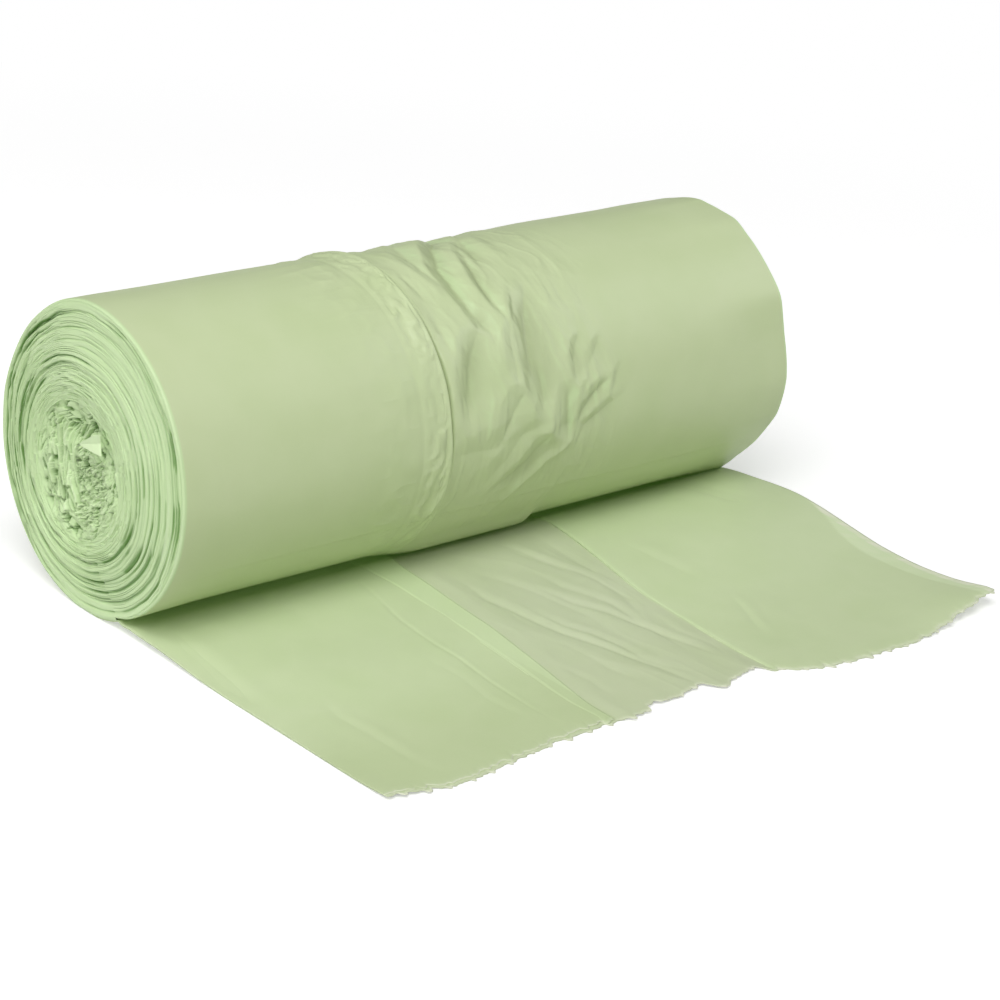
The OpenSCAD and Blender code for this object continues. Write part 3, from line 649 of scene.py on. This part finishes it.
def end_core(side):
    """The crumpled centre, as a height over a round grid: near its edge flakes lie along the turns,
    further in they stand in upright slivers on one side and in small crumples on the other, with
    finer flakes on them, and pockets where they have parted. Painted shade darkens the pockets, the
    slits and the low places, and a painted highlight lightens the raised flakes."""
    seed, rings, spokes = (300, 118, 380) if side < 0 else (400, 80, 260)
    angle = np.linspace(0, 360, spokes + 1)[None, :-1]
    a = np.radians(angle)
    reach = (CORE_R + 2.6) * np.linspace(0, 1, rings)[:, None] ** 0.8
    y, z = reach * np.sin(a), -reach * np.cos(a)
    bend_y = y + 2.0 * noise(y / 9, z / 12, seed) + 0.45 * noise(y / 3, z / 5, seed + 1)
    bend_z = z + 2.0 * noise(y / 9, z / 9, seed + 2) + 0.7 * noise(y / 3, z / 4, seed + 3)
    r = np.hypot(bend_y, bend_z)
    turn = np.arctan2(bend_y, -bend_z)
    blur = 1.6 * noise(y / 4, z / 4, seed + 10)

    # Crushed turns stand as tall narrow slivers, one behind the other, each at its own height and
    # broken off here and there
    phase = np.hypot(-side * bend_y + 10, 0.6 * (bend_z - 2)) / 1.15
    number = np.floor(phase)
    phase = phase - number
    lip = 1 - np.abs(2 * phase - 1) ** 3
    part = np.floor(bend_z / 7.5 + 0.37 * number + 0.8 * noise(number * 3.3, 0.5, seed + 14))
    own = 1.1 * hashed(number, part, 0, seed + 4)
    own = own + 0.8 * noise(number * 1.37 + 0.3, bend_z / 8, seed + 5)
    lean = 0.5 * hashed(number, part, 1, seed + 4)
    slivers = 1.25 * own + lip - 0.8 + lean * (phase - 0.5)
    sliver_slit = (1 - lip) ** 1.5 * ramp((noise(number * 5.3, bend_z / 4.5, seed + 6) + 0.15) / 0.25)

    # Small crumples, and flakes that lie along the turns near the edge
    crumple, crumple_edge = flakes(bend_y - 0.7 * bend_z, bend_z + 0.6 * bend_y, 3.4, 1.1, seed + 8,
                                   0.7, 0.7)
    fine, _ = flakes(bend_y, bend_z + bend_y, 0.9, 0.6, seed + 9, 0.4, 0.2)
    layer, layer_edge = flakes(turn * 21 + 40, r, 6.5, 1.1, seed + 7, 0.36, 0.45)
    outer = r + blur > 18.5
    crushed = (-side * bend_y > 1 + blur) | (bend_z > 7 + blur)
    relief = np.where(outer, layer, np.where(crushed, slivers, crumple))
    relief = relief + fine * np.where(crushed, 0.4, 1.0)
    edge = np.where(outer, layer_edge, crumple_edge)
    slit = ramp((0.16 - edge) / 0.12) * ramp((noise(y / 4, z / 4, seed + 11) + 0.2) / 0.3)
    slit = np.where(crushed & ~outer, sliver_slit, slit)

    # The left end's pockets are those that are seen, and the right end's are at random
    off_y, off_z = end_centre(side)
    if side < 0:
        mid_y, mid_z = POCKETS_FROM
        pocket = sum(np.exp(-(((y + mid_y - at_y) / half_y) ** 2
                              + ((z + mid_z - at_z) / half_z) ** 2) ** 2.2)
                     for at_y, at_z, half_y, half_z in LEFT_POCKETS)
    else:
        pocket = ramp((noise(bend_y / 2.8, bend_z / 6.0, seed + 12) - 0.30) / 0.14)
    pocket = np.clip(pocket, 0, 1)

    # It lies in a dish, and at its edge it goes under the innermost turn
    swell = 1.3 * fbm(y / 9, z / 12, seed + 13, octaves=2)
    sink = 2.3 + 0.5 * ramp((CORE_R - 1 - reach) / 6) + 0.7 * ramp((z + 0.3 * y) / 14)
    crumpled = HALF_W - sink + relief + swell - 0.9 * slit - 2.4 * pocket
    level, _ = end_level(side, reach, angle + 0 * reach)
    beneath = HALF_W + level - core_drop(reach) - 0.9 * ramp((reach - 26) / 1.2)
    loose = ramp((CORE_R + 0.2 - reach) / 1.5)
    out = loose * crumpled + (1 - loose) * beneath
    points = np.stack([side * out, y + off_y, AXIS_Z + off_z + z], -1)
    faces = grid_faces(rings, spokes, close_columns=True)
    piece = add_mesh("end_core_" + SIDE_NAMES[side], points.reshape(-1, 3),
                     faces[:, ::-1] if side < 0 else faces)
    # Painted shade in the slits, the pockets and the low places, and a painted highlight on the raised
    # flakes
    low = np.clip(-0.3 - relief - 0.6 * swell, 0, 2)
    give(piece, "pocket", np.clip(1.1 * slit + pocket + 0.55 * low, 0, 1) * loose)
    give(piece, "glint", 0.7 * ramp((relief - 0.5) / 1.1) * (1 - pocket) * loose)
    return piece


def end_flap():
    """A corner of film that sticks out of the left centre: a fan from its tip to five far points,
    bowed a little, with a painted highlight, full on its lower part and fainter above."""
    tip = np.array([[-142.2, 6.3, 59.4], [-142.2, 6.3, 59.1]])
    far = np.array([[-143.6, -3.6, 65.9], [-143.6, -8.1, 67.6], [-143.0, -7.5, 63.9], [-147.0, -13.9, 62.2],
                    [-145.5, -6.2, 60.8]])
    p = np.linspace(0, 1, 14)[:, None, None]
    q = np.linspace(0, 1, 25)
    tip, far = (np.stack([np.interp(q, np.linspace(0, 1, len(row)), row[:, k]) for k in range(3)], -1)
                for row in (tip, far))
    grid = (1 - p) * tip + p * far
    grid[..., 0] -= 0.35 * np.sin(np.pi * p[..., 0]) * np.sin(np.pi * q)[None]
    piece = film_sheet("end_flap", grid, 0.2)
    give(piece, "glint", double(0 * grid[..., 0] + np.where(q > 0.48, 1.0, 0.35)))
    return piece


# The loose end

# Height of its two side edges by distance out, and its torn edge and fold lines as seen
LEFT_EDGE_Z = [
    (-200, 1.6), (-167, 1.6), (-160, 0.7), (-150, 0.2), (-80, 0.1), (-67, 0.5), (-56, 1.3), (-44.5, 2.2),
    (-33, 2.3), (-21, 3.2),
]
RIGHT_EDGE_Z = [
    (-200, 6), (-167.5, 6), (-161, 4.7), (-151, 2.9), (-142, 2.1), (-132, 1.7), (-122, 2.1), (-112, 2.7),
    (-101.5, 4.3), (-91, 6), (-80, 7.8), (-69, 9), (-59, 8.8), (-48, 8), (-37, 7.2), (-27, 6.2), (-21, 4.6),
]
TORN_LINE = [
    (-143, -164.4), (-138, -164.7), (-131, -166), (-124, -167.2), (-118, -168.6), (-109, -168.1),
    (-99, -166.9), (-90, -165.8), (-80, -164.6), (-70, -163.6), (-61, -163.2), (-53, -163.4), (-44, -162.9),
    (-40, -164), (-36, -164.4), (-31, -164.3), (-29.2, -161), (-26, -160.4), (-22, -161.1), (-17.7, -161.8),
    (-12, -161.4), (-6, -159.9), (-0.8, -158.4), (0.8, -160.8), (2, -163), (5.3, -164), (8, -163.2),
    (10.5, -161.6), (15.7, -160.9), (20, -160), (24, -158.7), (27, -160.4), (28.6, -163.8), (32, -164.3),
    (37, -168), (44, -170.8), (53, -172.5), (62, -173.8), (72, -174.2), (82, -174.6), (92, -174.9),
    (106, -173.3), (119, -172), (135, -168.8), (143, -167.6),
]
LINE_A = [
    (-200, -49.2), (-166, -49.2), (-153, -50), (-141, -50.2), (-112, -46.4), (-81, -44), (-50, -43.3),
    (-35, -43.3), (-20, -43),
]
LINE_B = [
    (-200, -44.6), (-162, -44.8), (-152, -44.9), (-135, -42), (-112, -37.6), (-86, -33.8), (-70, -33),
    (-54, -31.8), (-40, -30.5), (-28, -28.8), (-20, -27),
]
LINE_C = [
    (-200, 29.2), (-157, 29.2), (-140, 29.2), (-126, 29.8), (-112, 30.6), (-98, 31), (-84, 33.2),
    (-70, 35.8), (-58, 38.4), (-44, 41.6), (-30, 44.4), (-15, 45),
]
# Inner line of the paler band along the loose end's right edge
EDGE_BAND = [
    (-200, 135.5), (-154, 135.5), (-142, 133.8), (-128, 132), (-117, 131), (-108, 131.2), (-98, 133.4),
    (-88, 137.5), (-78, 140.8), (-68, 143), (-20, 144),
]

# Wrinkles of the loose end, in the form that creases() takes, as (x, y) on the floor
MIDDLE_WRINKLES = [
    ([(-20.5, -51), (-21.4, -71), (-19, -82), (-15, -103), (-9.6, -119), (-4, -142),
        (-2.4, -162)], 1.3, 1.7, 0.25),
    ([(-2, -72), (1, -81), (4, -90), (10, -100), (14, -113), (18, -131), (19.4, -147)], 1.1, 1.6, 0.25),
    ([(12.5, -32), (14, -41), (17.4, -61), (23, -79), (24, -90), (26, -105)], 0.8, 1.8, 0.25),
    ([(30, -40), (28, -55), (27, -66), (27, -75), (25, -88)], 0.44, 2.4, 0.35),
    ([(6, -62), (8, -79), (13, -89), (16, -98), (15, -109), (10, -124)], 0.66, 2, 0.45),
    ([(-14, -84), (-11, -101), (-6, -110), (-4, -121), (-4, -133), (-1, -143), (3, -152)], 0.66, 1.9, 0.4),
    ([(31, -72), (22, -99), (17, -115), (14, -131), (12, -146)], 0.55, 2.6, -0.35),
    ([(-22, -104), (-20, -122), (-20, -134), (-17, -148)], 0.44, 2.2, 0.3),
    ([(-12, -52), (-6, -68), (-2, -84), (2, -98), (1, -112)], 0.44, 2.4, 0.35),
    ([(-24, -60), (-21, -76), (-22, -92), (-18, -104)], 0.39, 2.2, -0.3),
    ([(14, -36), (13, -50), (17, -62), (19, -78)], 0.39, 2.2, 0.3),
    ([(24, -108), (22, -124), (25, -138), (22, -152)], 0.39, 2, 0.3),
    ([(-34, -122), (-32, -136), (-34, -150)], 0.28, 1.8, 0.25),
]
LEFT_WRINKLES = [
    ([(-116, -96), (-121, -112), (-120, -125), (-119.5, -137), (-119.6, -149),
        (-118.5, -160)], 0.25, 2.2, 0.7),
    ([(-129, -30), (-133, -47), (-135, -67), (-137, -83), (-138, -98)], 0.5, 3.5, 0.5),
    ([(-50, -30), (-54, -48), (-58, -68), (-59.4, -87), (-59.3, -101), (-62, -121), (-63, -141),
        (-62.3, -155)], 0.3, 0.9, 0.2),
    ([(-70, -90), (-68, -110), (-71, -128), (-69, -150)], 0.16, 2, 0.5),
]
RIGHT_WRINKLES = [
    ([(60, -112), (56, -122), (51, -133), (47, -142)], 0.28, 1.9, 0.8),
    ([(52, -60), (55, -80), (58, -100)], 0.25, 3, 0.5),
    ([(112, -30), (116, -50), (120, -66)], 0.5, 3.2, -0.5),
]

# The spacing of the perforation's tags, and how far they reach on the thin layers and on the sides
TAG_PITCH = 2 * HALF_W / 32
BASE_TAGS = 1.8
SIDE_TAGS = 0.8

# Where the loose end leaves the roll, the rows laid out under the roll and beyond it, and the
# lowest that the film's upper face comes
ROLL_CONTACT = -R * np.sin(np.radians(NIP))
ROWS_UNDER = 6
LOWEST = 0.34


def floor_height(x, y):
    """Height of the loose end's underside: the two edges' tables of height by distance out, blended
    across the width."""
    share = (x + HALF_W) / (2 * HALF_W)
    left = smooth_table(y, LEFT_EDGE_Z, 5.0)
    right = smooth_table(y, RIGHT_EDGE_Z, 5.0)
    corner = ramp((share - 0.78) / 0.22)
    raised = ramp((y + 150) / 30)
    weight = raised * share ** 1.5 + (1 - raised) * corner ** 1.4
    corner_l = raised + (1 - raised) * ramp((0.10 - share) / 0.10) ** 1.4
    return 0.12 + left * (1 - weight) * corner_l + right * weight


def middle_share(x, y, soften):
    """1 between the band's edge and the right side's edge, and 0 beyond them."""
    return (ramp((x - smooth_table(y, LINE_B, 6.0)) / soften)
            * ramp((smooth_table(y, LINE_C, 6.0) - x) / soften))


def base_wrinkles(x, y):
    """Height of the wrinkles in the two thin layers between the folds: soft waves along the web,
    pushed about by noise, and the wrinkles that are listed."""
    waves = ridged((x + 0.12 * y) / 17 + 0.6 * noise(x / 20, y / 30, 51), y / 62, 52, octaves=2)
    height = 0.45 * waves + 0.45 * fbm(x / 17, y / 38, 53, octaves=2) + 0.5
    return middle_share(x, y, 7.0) * ramp((-y - 24) / 30) * (height + 0.85 * creases(x, y, MIDDLE_WRINKLES))


def torn_line(x):
    """Distance out of the torn edge: its table, with a fine ragged line on it."""
    ragged = 0.9 * fbm(x / 3.0, 0.5, 61) + 0.4 * noise(x / 9, 0.5, 62)
    return smooth_table(x, TORN_LINE, 0.8) + ragged


def tags(x, seed, longest):
    """Length of the stretched tags that the perforation leaves: a half ellipse at each pitch, each
    of its own length, width and place."""
    index = np.floor((x + HALF_W) / TAG_PITCH)
    place, half, length = (middle + spread * hashed(index, 0 * index + k, 0, seed)
                           for k, (middle, spread) in enumerate([(0.5, 0.16), (1.15, 0.35), (0.62, 0.38)]))
    off = ((x + HALF_W) / TAG_PITCH - index - place) * TAG_PITCH / half
    return longest * length * np.sqrt(np.clip(1 - off ** 2, 0, 1))


def lay_out(x, far, lift):
    """A strip of the loose end. Its rows start under the roll, against the winding, leave it at the
    nip and go out to the torn edge, closer together at both ends. lift is its height over the
    underside, and x may drift with the row. Returns the grid of points, and the share of the way
    out at each of them, which is 0 under the roll."""
    share = stations(0, (80, 0.94), (9, 1))
    first = x(np.array([ROLL_CONTACT]))[0]
    r = R + 0.02 - lift(first, np.full(first.size, ROLL_CONTACT), 0.0)
    rows = []
    for a in np.radians(np.linspace(-4, -NIP, ROWS_UNDER + 1)[:-1]):
        z = np.maximum(AXIS_Z - r * np.cos(a), 0.1 + lift(first, 0 * first - 10, 0.0))
        rows.append(np.stack([first, r * np.sin(a), z], -1))
    y = ROLL_CONTACT + (far(x(np.array([-165.0]))[0]) - ROLL_CONTACT)[None, :] * share[:, None]
    xs = np.stack([x(np.array([row.mean()]))[0] for row in y])
    out = ROLL_CONTACT - y
    leaving = ramp(out / 7.0)
    nip_z = AXIS_Z - R * np.cos(np.radians(NIP))
    tangent = nip_z - out * np.tan(np.radians(NIP)) * (1 - 0.35 * leaving)
    z = (1 - leaving) * tangent + leaving * floor_height(xs, y)
    z = np.maximum(z + lift(xs, y, share[:, None]), LOWEST)
    share = np.concatenate([np.zeros(ROWS_UNDER), share])[:, None] * np.ones(first.size)
    return np.concatenate([np.stack(rows), np.stack([xs, y, z], -1)]), share


def film_colours(piece, doubled, bright, torn):
    """Keeps what colours a sheet of the loose end: how far it lies under the roll, for a painted glow,
    and out at the front, for painted shade, and the shares of doubled film, of brighter film, partly a
    painted highlight, and of torn edge."""
    place = np.empty(3 * len(piece.data.vertices))
    piece.data.vertices.foreach_get("co", place)
    x, y = place[::3] / MM, place[1::3] / MM
    give(piece, "under", ramp((13 + y - ROLL_CONTACT) / 12))
    # Painted shade, deeper towards the front and most on the left side
    give(piece, "front", ramp((-y - 90) / 60) * np.where(x < -44, 1.0, 0.45))
    for name, values in (("doubled", doubled), ("bright", bright), ("torn", torn)):
        give(piece, name, double(values))


def loose_base():
    """The two thin layers across the whole width, with the torn tags on their edge."""
    columns = np.linspace(-HALF_W, HALF_W, 470)
    grid, share = lay_out(lambda y: np.broadcast_to(columns, (len(y), columns.size)),
                          lambda x: torn_line(x) - tags(x, 71, BASE_TAGS),
                          lambda x, y, v: 0.3 + base_wrinkles(x, y))
    piece = film_sheet("loose_base", grid, 0.28)
    on_tag = tags(grid[..., 0], 71, BASE_TAGS) > 0.15
    film_colours(piece, 1 - middle_share(grid[..., 0], grid[..., 1], 1.0), 0 * share,
                 ramp((share - 0.985) / 0.012) * (0.35 + 0.65 * on_tag))
    return piece


def side_flap(name, inner, outer, seed, thickness, wrinkles, above, back, count=190, fall=1.6, rag=0.4):
    """A folded side on top of the base, from its fold line at the middle to the outer edge of the
    web. above is its height over the underside, and back how far it is torn off behind the base. Its
    folded edge comes down to the layer below within the fall, and its torn end droops."""
    share_x = np.linspace(0, 1, count)
    if count > 60:
        share_x = 0.45 * share_x + 0.55 * share_x ** 2
    narrow = isinstance(outer, list)

    def columns(y):
        edge = smooth_table(y, inner, 6.0)
        far_edge = smooth_table(y, outer, 6.0) if narrow else np.full(len(y), outer)
        return edge[:, None] + (far_edge - edge)[:, None] * share_x[None, :]

    def lift(x, y, v):
        from_edge = np.abs(x - smooth_table(y, inner, 6.0))
        height = above - 0.32 * (1 - ramp(from_edge / fall + 0.15)) * ramp((-y - 20) / 10)
        if narrow:
            height = height - 0.30 * (1 - ramp(np.abs(x - smooth_table(y, outer, 6.0)) / 1.8))
        waves = 0.20 * fbm(x / 26, y / 36, seed) + creases(x, y, wrinkles)
        return height - 0.3 * ramp((v - 0.975) / 0.025) + ramp((-y - 20) / 20) * waves

    def far(x):
        ragged = fbm(x / 2.1, 0.2, seed + 2) + 0.6 * fbm(x / 7, 0.4, seed + 3)
        return torn_line(x) + back - tags(x, seed + 1, SIDE_TAGS) + rag * ragged

    grid, share = lay_out(columns, far, lift)
    if grid[-1, 0, 0] > grid[-1, -1, 0]:
        grid = grid[:, ::-1]
    return film_sheet(name, grid, thickness), grid, share


def loose_sides():
    """The left side, the right side with its paler outer band, its whitened outer edge and a painted
    highlight along its fold, and the narrow band that is folded over beside the left side."""
    left, _, share = side_flap("loose_left", LINE_B, -HALF_W, 81, 0.3, LEFT_WRINKLES, 0.65, 1.8)
    film_colours(left, 1 + 0 * share, 0 * share, 0.8 * ramp((share - 0.992) / 0.006))

    right, grid, share = side_flap("loose_right", LINE_C, HALF_W, 91, 0.3, RIGHT_WRINKLES, 0.65, 0.5)
    x, y = grid[..., 0], grid[..., 1]
    from_band = x - smooth_table(y, EDGE_BAND, 3.0)
    from_fold = x - smooth_table(y, LINE_C, 6.0)
    ticks = 0.6 + 0.4 * noise(x / 5, (y + x) / 2.2, 97)
    outer = ramp((x - 139.0) / 1.0) * ramp((-y - 62) / 10) * ramp(from_band / 1.0)
    paler = ramp(from_band / 1.2)
    # The paler outer band, and a painted highlight along the folded edge
    film_colours(right, 1 + 0 * share, np.maximum(paler, 0.4 * (1 - ramp((from_fold - 0.4) / 3.0))),
                 np.maximum(ticks * (0.35 * paler + outer), 0.5 * ramp((share - 0.990) / 0.008)))

    band, _, share = side_flap("loose_band", LINE_B, LINE_A, 95, 0.25, [], 0.95, 1.2,
                               count=44, fall=1.0, rag=0.7)
    film_colours(band, 1 + 0 * share, 0.6 + 0 * share, 0.5 * ramp((share - 0.990) / 0.008))
    return [left, right, band]


# Materials

class Shade:
    """A socket with arithmetic: an expression on these adds its Math nodes."""

    def __init__(self, nodes, socket):
        self.nodes, self.socket = nodes, socket

    def __add__(self, other):
        return self.nodes.math("ADD", self, other)

    def __sub__(self, other):
        return self.nodes.math("SUBTRACT", self, other)

    def __rsub__(self, other):
        return self.nodes.math("SUBTRACT", other, self)

    def __mul__(self, other):
        return self.nodes.math("MULTIPLY", self, other)

    def __pow__(self, other):
        return self.nodes.math("POWER", self, other)

    __radd__ = __add__
    __rmul__ = __mul__


class Nodes:
    """The node tree of a new material or world, with one method, node, that adds any node."""

    def __init__(self, owner):
        self.owner = owner
        owner.use_nodes = True
        self.tree = owner.node_tree
        self.tree.nodes.clear()

    def node(self, kind, settings=None, sockets=None, output=0):
        made = self.tree.nodes.new(kind)
        for key, value in (settings or {}).items():
            setattr(made, key, value)
        for key, value in (sockets or {}).items():
            if isinstance(value, Shade):
                self.tree.links.new(value.socket, made.inputs[key])
            else:
                made.inputs[key].default_value = value
        return Shade(self, made.outputs[output]) if made.outputs else None

    def math(self, operation, *operands):
        return self.node("ShaderNodeMath", {"operation": operation}, dict(enumerate(operands)))

    def clamp(self, value):
        return self.math("MINIMUM", self.math("MAXIMUM", value, 0.0), 1.0)

    def attribute(self, name):
        """What give() keeps at each point, from 0 to 1."""
        return self.clamp(self.node("ShaderNodeAttribute", {"attribute_name": name}, output="Fac"))

    def seen_by(self, ray):
        """1 for the camera's rays and for those of one more kind, and 0 for others."""
        rays = [self.node("ShaderNodeLightPath", output=kind) for kind in ("Is Camera Ray", ray)]
        return self.math("MAXIMUM", *rays)

    def mix(self, factor, first, second, blend="MIX"):
        """Colours mixed by a factor."""
        return self.node("ShaderNodeMix", {"data_type": "RGBA", "blend_type": blend},
                         {0: factor, 6: first, 7: second}, output=2)


def linear(red, green, blue):
    """A colour written in 0 to 255 as the shader wants it."""
    c = np.array([red, green, blue]) / 255.0
    c = np.where(c <= 0.04045, c / 12.92, ((c + 0.055) / 1.055) ** 2.4)
    return (*map(float, c), 1.0)


BLACK, WHITE = (0.0, 0.0, 0.0, 1.0), (1.0, 1.0, 1.0, 1.0)
# The wound film, the doubled sides and the thin layers of the loose end
GREEN, SIDE, PALE = linear(204, 218, 172), linear(207, 221, 179), linear(204, 213, 180)
# Folded edges, also taken by the roll's painted highlight, and a painted highlight where they
# catch the light; painted shade in the grooves on the ends and in the folds on the roll
MINT, GLINT = linear(206, 229, 178), linear(224, 243, 198)
CREVICE_SHADE, FOLD_SHADE = linear(104, 146, 72), linear(118, 132, 78)
# Painted shade at the loose end's front, its brighter bands, also used for a painted highlight along a
# fold, and its whitened tags
FRONT_SHADE, BRIGHT, TORN = linear(176, 190, 142), linear(214, 231, 186), linear(232, 236, 212)
# The light that comes through the film close to the nip
GLOW = linear(24, 38, 10)
# What the film's tone drifts towards
DRIFT = (0.62, 0.78, 0.42, 1.0)


def film_material(name, base, roughness=0.42, bump=0.12):
    """Satin film: a green that drifts slightly in tone, with fine streaks and haze in its roughness,
    a very shallow pebble, and a little light that comes through it under the roll."""
    film = Nodes(bpy.data.materials.new(name))
    place = film.node("ShaderNodeTexCoord", output="Object")

    def grain(where, scale, detail):
        return film.node("ShaderNodeTexNoise", sockets={"Vector": where, "Scale": scale, "Detail": detail})

    drift, fine = grain(place, 26.0, 3.0), grain(place, 900.0, 2.0)
    along = film.node("ShaderNodeMapping", sockets={"Vector": place, "Scale": (30.0, 500.0, 500.0)})
    streak = grain(along, 1.0, 2.0)
    tone = film.mix(0.5 * film.math("ABSOLUTE", drift - 0.5), base(film), DRIFT, "MULTIPLY")
    haze = film.clamp(roughness + 0.10 * (streak - 0.5) + 0.08 * (fine - 0.5))
    pebble = film.node("ShaderNodeBump", sockets={"Strength": bump, "Distance": 0.0004,
                                                  "Height": 0.5 * fine + 0.5 * streak})
    shader = film.node("ShaderNodeBsdfPrincipled", sockets={
        "Base Color": tone, "Roughness": haze, "Normal": pebble, "IOR": 1.5, "Specular IOR Level": 0.38,
        "Emission Color": film.mix(film.attribute("under"), BLACK, GLOW), "Emission Strength": 1.0})
    film.node("ShaderNodeOutputMaterial", sockets={"Surface": shader})
    return film.owner


def roll_colour(film):
    """The wound film is one green all over, with painted shade in its folds, a painted mint highlight
    where it catches the light, and mint at its rims."""
    folded = film.mix(0.7 * film.attribute("pocket"), GREEN, FOLD_SHADE)
    return film.mix(film.attribute("mint"), folded, MINT)


def end_colour(film):
    """Folded edges are mint, with painted shade in the grooves between them and a painted highlight on
    raised flakes.
    """
    bare = film.mix(0.95 * film.attribute("pocket") ** 1.7, MINT, CREVICE_SHADE)
    return film.mix(film.attribute("glint"), bare, GLINT)


def loose_colour(film):
    """Doubled film is greener than the thin layers, the bands are brighter, with a painted highlight
    along the right side's fold, the front is darker with painted shade, and the tags at the tear are
    whitened."""
    plain = film.mix(film.attribute("doubled"), PALE, SIDE)
    banded = film.mix(film.attribute("bright"), plain, BRIGHT)
    shaded = film.mix(0.45 * film.attribute("front"), banded, FRONT_SHADE)
    return film.mix(film.attribute("torn"), shaded, TORN)


# The floor, the light and the camera

FLOOR_HALF = 4000.0
FLOOR_GLOW = 0.42
WORLD_LIGHT = 0.112
# Lamps as (name, place, size, power), in metres and watts, and the point that they face
LAMPS = [("key_lamp", (-0.9, -0.9, 1.9), 1.3, 32.0), ("top_lamp", (0.1, 0.5, 2.0), 1.6, 1.5),
         ("left_lamp", (-1.6, -0.3, 0.7), 1.0, 5.6), ("right_lamp", (1.5, -0.6, 1.0), 1.0, 7.5),
         ("rear_lamp", (-1.3, 1.0, 1.5), 1.2, 8.0)]
LAMPS_FACE = (0.0, -0.05, 0.05)

# The photograph's viewing angle in degrees, and what the camera looks at, from how far, in millimetres
CAMERA_TURN, CAMERA_RISE, CAMERA_ROLL = -43.1214, 21.5213, 4.7928
CAMERA_TARGET = (6.18, -44.11, 26.18)
CAMERA_DISTANCE = 996.3
CAMERA_LENS = 98.628


def stand(thing, right, up, back, place):
    """Links a lamp or the camera, at a place in metres and turned to its three directions."""
    bpy.context.scene.collection.objects.link(thing)
    thing.matrix_world = Matrix([*zip(right, up, back, place), (0, 0, 0, 1)])


def directions(back):
    """The right and up directions that go with a backward one, level with the floor."""
    right = np.cross([0, 0, 1.0], back)
    right /= np.linalg.norm(right)
    return right, np.cross(back, right)


def studio():
    """A pale floor that is white to the camera but takes the roll's shadow, a white world and five
    soft lamps."""
    corners = FLOOR_HALF * np.array([[-1, -1, 0], [1, -1, 0], [1, 1, 0], [-1, 1, 0]], float)
    floor = add_mesh("floor", corners, np.array([[0, 1, 2, 3]]), smooth=False)
    paper = Nodes(bpy.data.materials.new("floor_paper"))
    seen = paper.seen_by("Is Glossy Ray")
    diffuse = paper.node("ShaderNodeBsdfDiffuse", sockets={"Color": (0.80, 0.80, 0.80, 1)})
    glow = paper.node("ShaderNodeEmission", sockets={"Color": WHITE, "Strength": FLOOR_GLOW * seen})
    both = paper.node("ShaderNodeAddShader", sockets={0: diffuse, 1: glow})
    place = paper.node("ShaderNodeTexCoord", output="Object")
    out = paper.node("ShaderNodeVectorMath", {"operation": "LENGTH"}, {0: place}, output="Value")
    far_off = paper.node("ShaderNodeMapRange", {"interpolation_type": "SMOOTHSTEP"},
                         {"Value": out, "From Min": 0.25, "From Max": 0.75})
    white = paper.node("ShaderNodeEmission", sockets={"Color": WHITE, "Strength": 1.0})
    ground = paper.node("ShaderNodeMixShader", sockets={0: far_off * seen, 1: both, 2: white})
    paper.node("ShaderNodeOutputMaterial", sockets={"Surface": ground})
    floor.data.materials.append(paper.owner)

    world = Nodes(bpy.data.worlds.new("studio"))
    bpy.context.scene.world = world.owner
    seen = world.seen_by("Is Transmission Ray")
    strength = world.node("ShaderNodeMapRange",
                          sockets={"Value": seen, "To Min": WORLD_LIGHT, "To Max": 1.0})
    sky = world.node("ShaderNodeBackground", sockets={"Color": WHITE, "Strength": strength})
    world.node("ShaderNodeOutputWorld", sockets={"Surface": sky})

    for name, place, size, power in LAMPS:
        light = bpy.data.lights.new(name, "AREA")
        light.shape = "RECTANGLE"
        light.size = light.size_y = size
        light.energy = power
        back = np.array(place) - LAMPS_FACE
        back /= np.linalg.norm(back)
        stand(bpy.data.objects.new(name, light), *directions(back), back, place)
    bpy.context.scene.view_settings.view_transform = "Standard"


def photo_camera():
    """The camera at the photograph's viewing angle. Its backward direction is (sin turn cos rise,
    -cos turn cos rise, sin rise), and the roll turns the other two about it."""
    turn, rise, roll = np.radians([CAMERA_TURN, CAMERA_RISE, CAMERA_ROLL])
    back = np.array([np.sin(turn) * np.cos(rise), -np.cos(turn) * np.cos(rise), np.sin(rise)])
    right, up = directions(back)
    data = bpy.data.cameras.new("camera")
    data.sensor_width = 36.0
    data.lens = CAMERA_LENS
    data.clip_start, data.clip_end = 0.05, 50.0
    camera = bpy.data.objects.new("camera", data)
    stand(camera, right * np.cos(roll) + up * np.sin(roll), up * np.cos(roll) - right * np.sin(roll), back,
          (np.array(CAMERA_TARGET) + back * CAMERA_DISTANCE) * MM)
    bpy.context.scene.camera = camera


photo_camera()
studio()

roll_film = film_material("roll_film", roll_colour)
end_film = film_material("end_film", end_colour, roughness=0.45, bump=0.05)
loose_film = film_material("loose_film", loose_colour)

pieces = [(wound_film(), roll_film)]
for side in (-1, 1):
    pieces += [(end_turns(side), end_film), (end_core(side), end_film)]
pieces += [(end_flap(), end_film), (loose_base(), loose_film)]
pieces += [(piece, loose_film) for piece in loose_sides()]

for piece, material in pieces:
    piece.data.materials.append(material)
    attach(piece, "root")
    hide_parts("bag_roll")
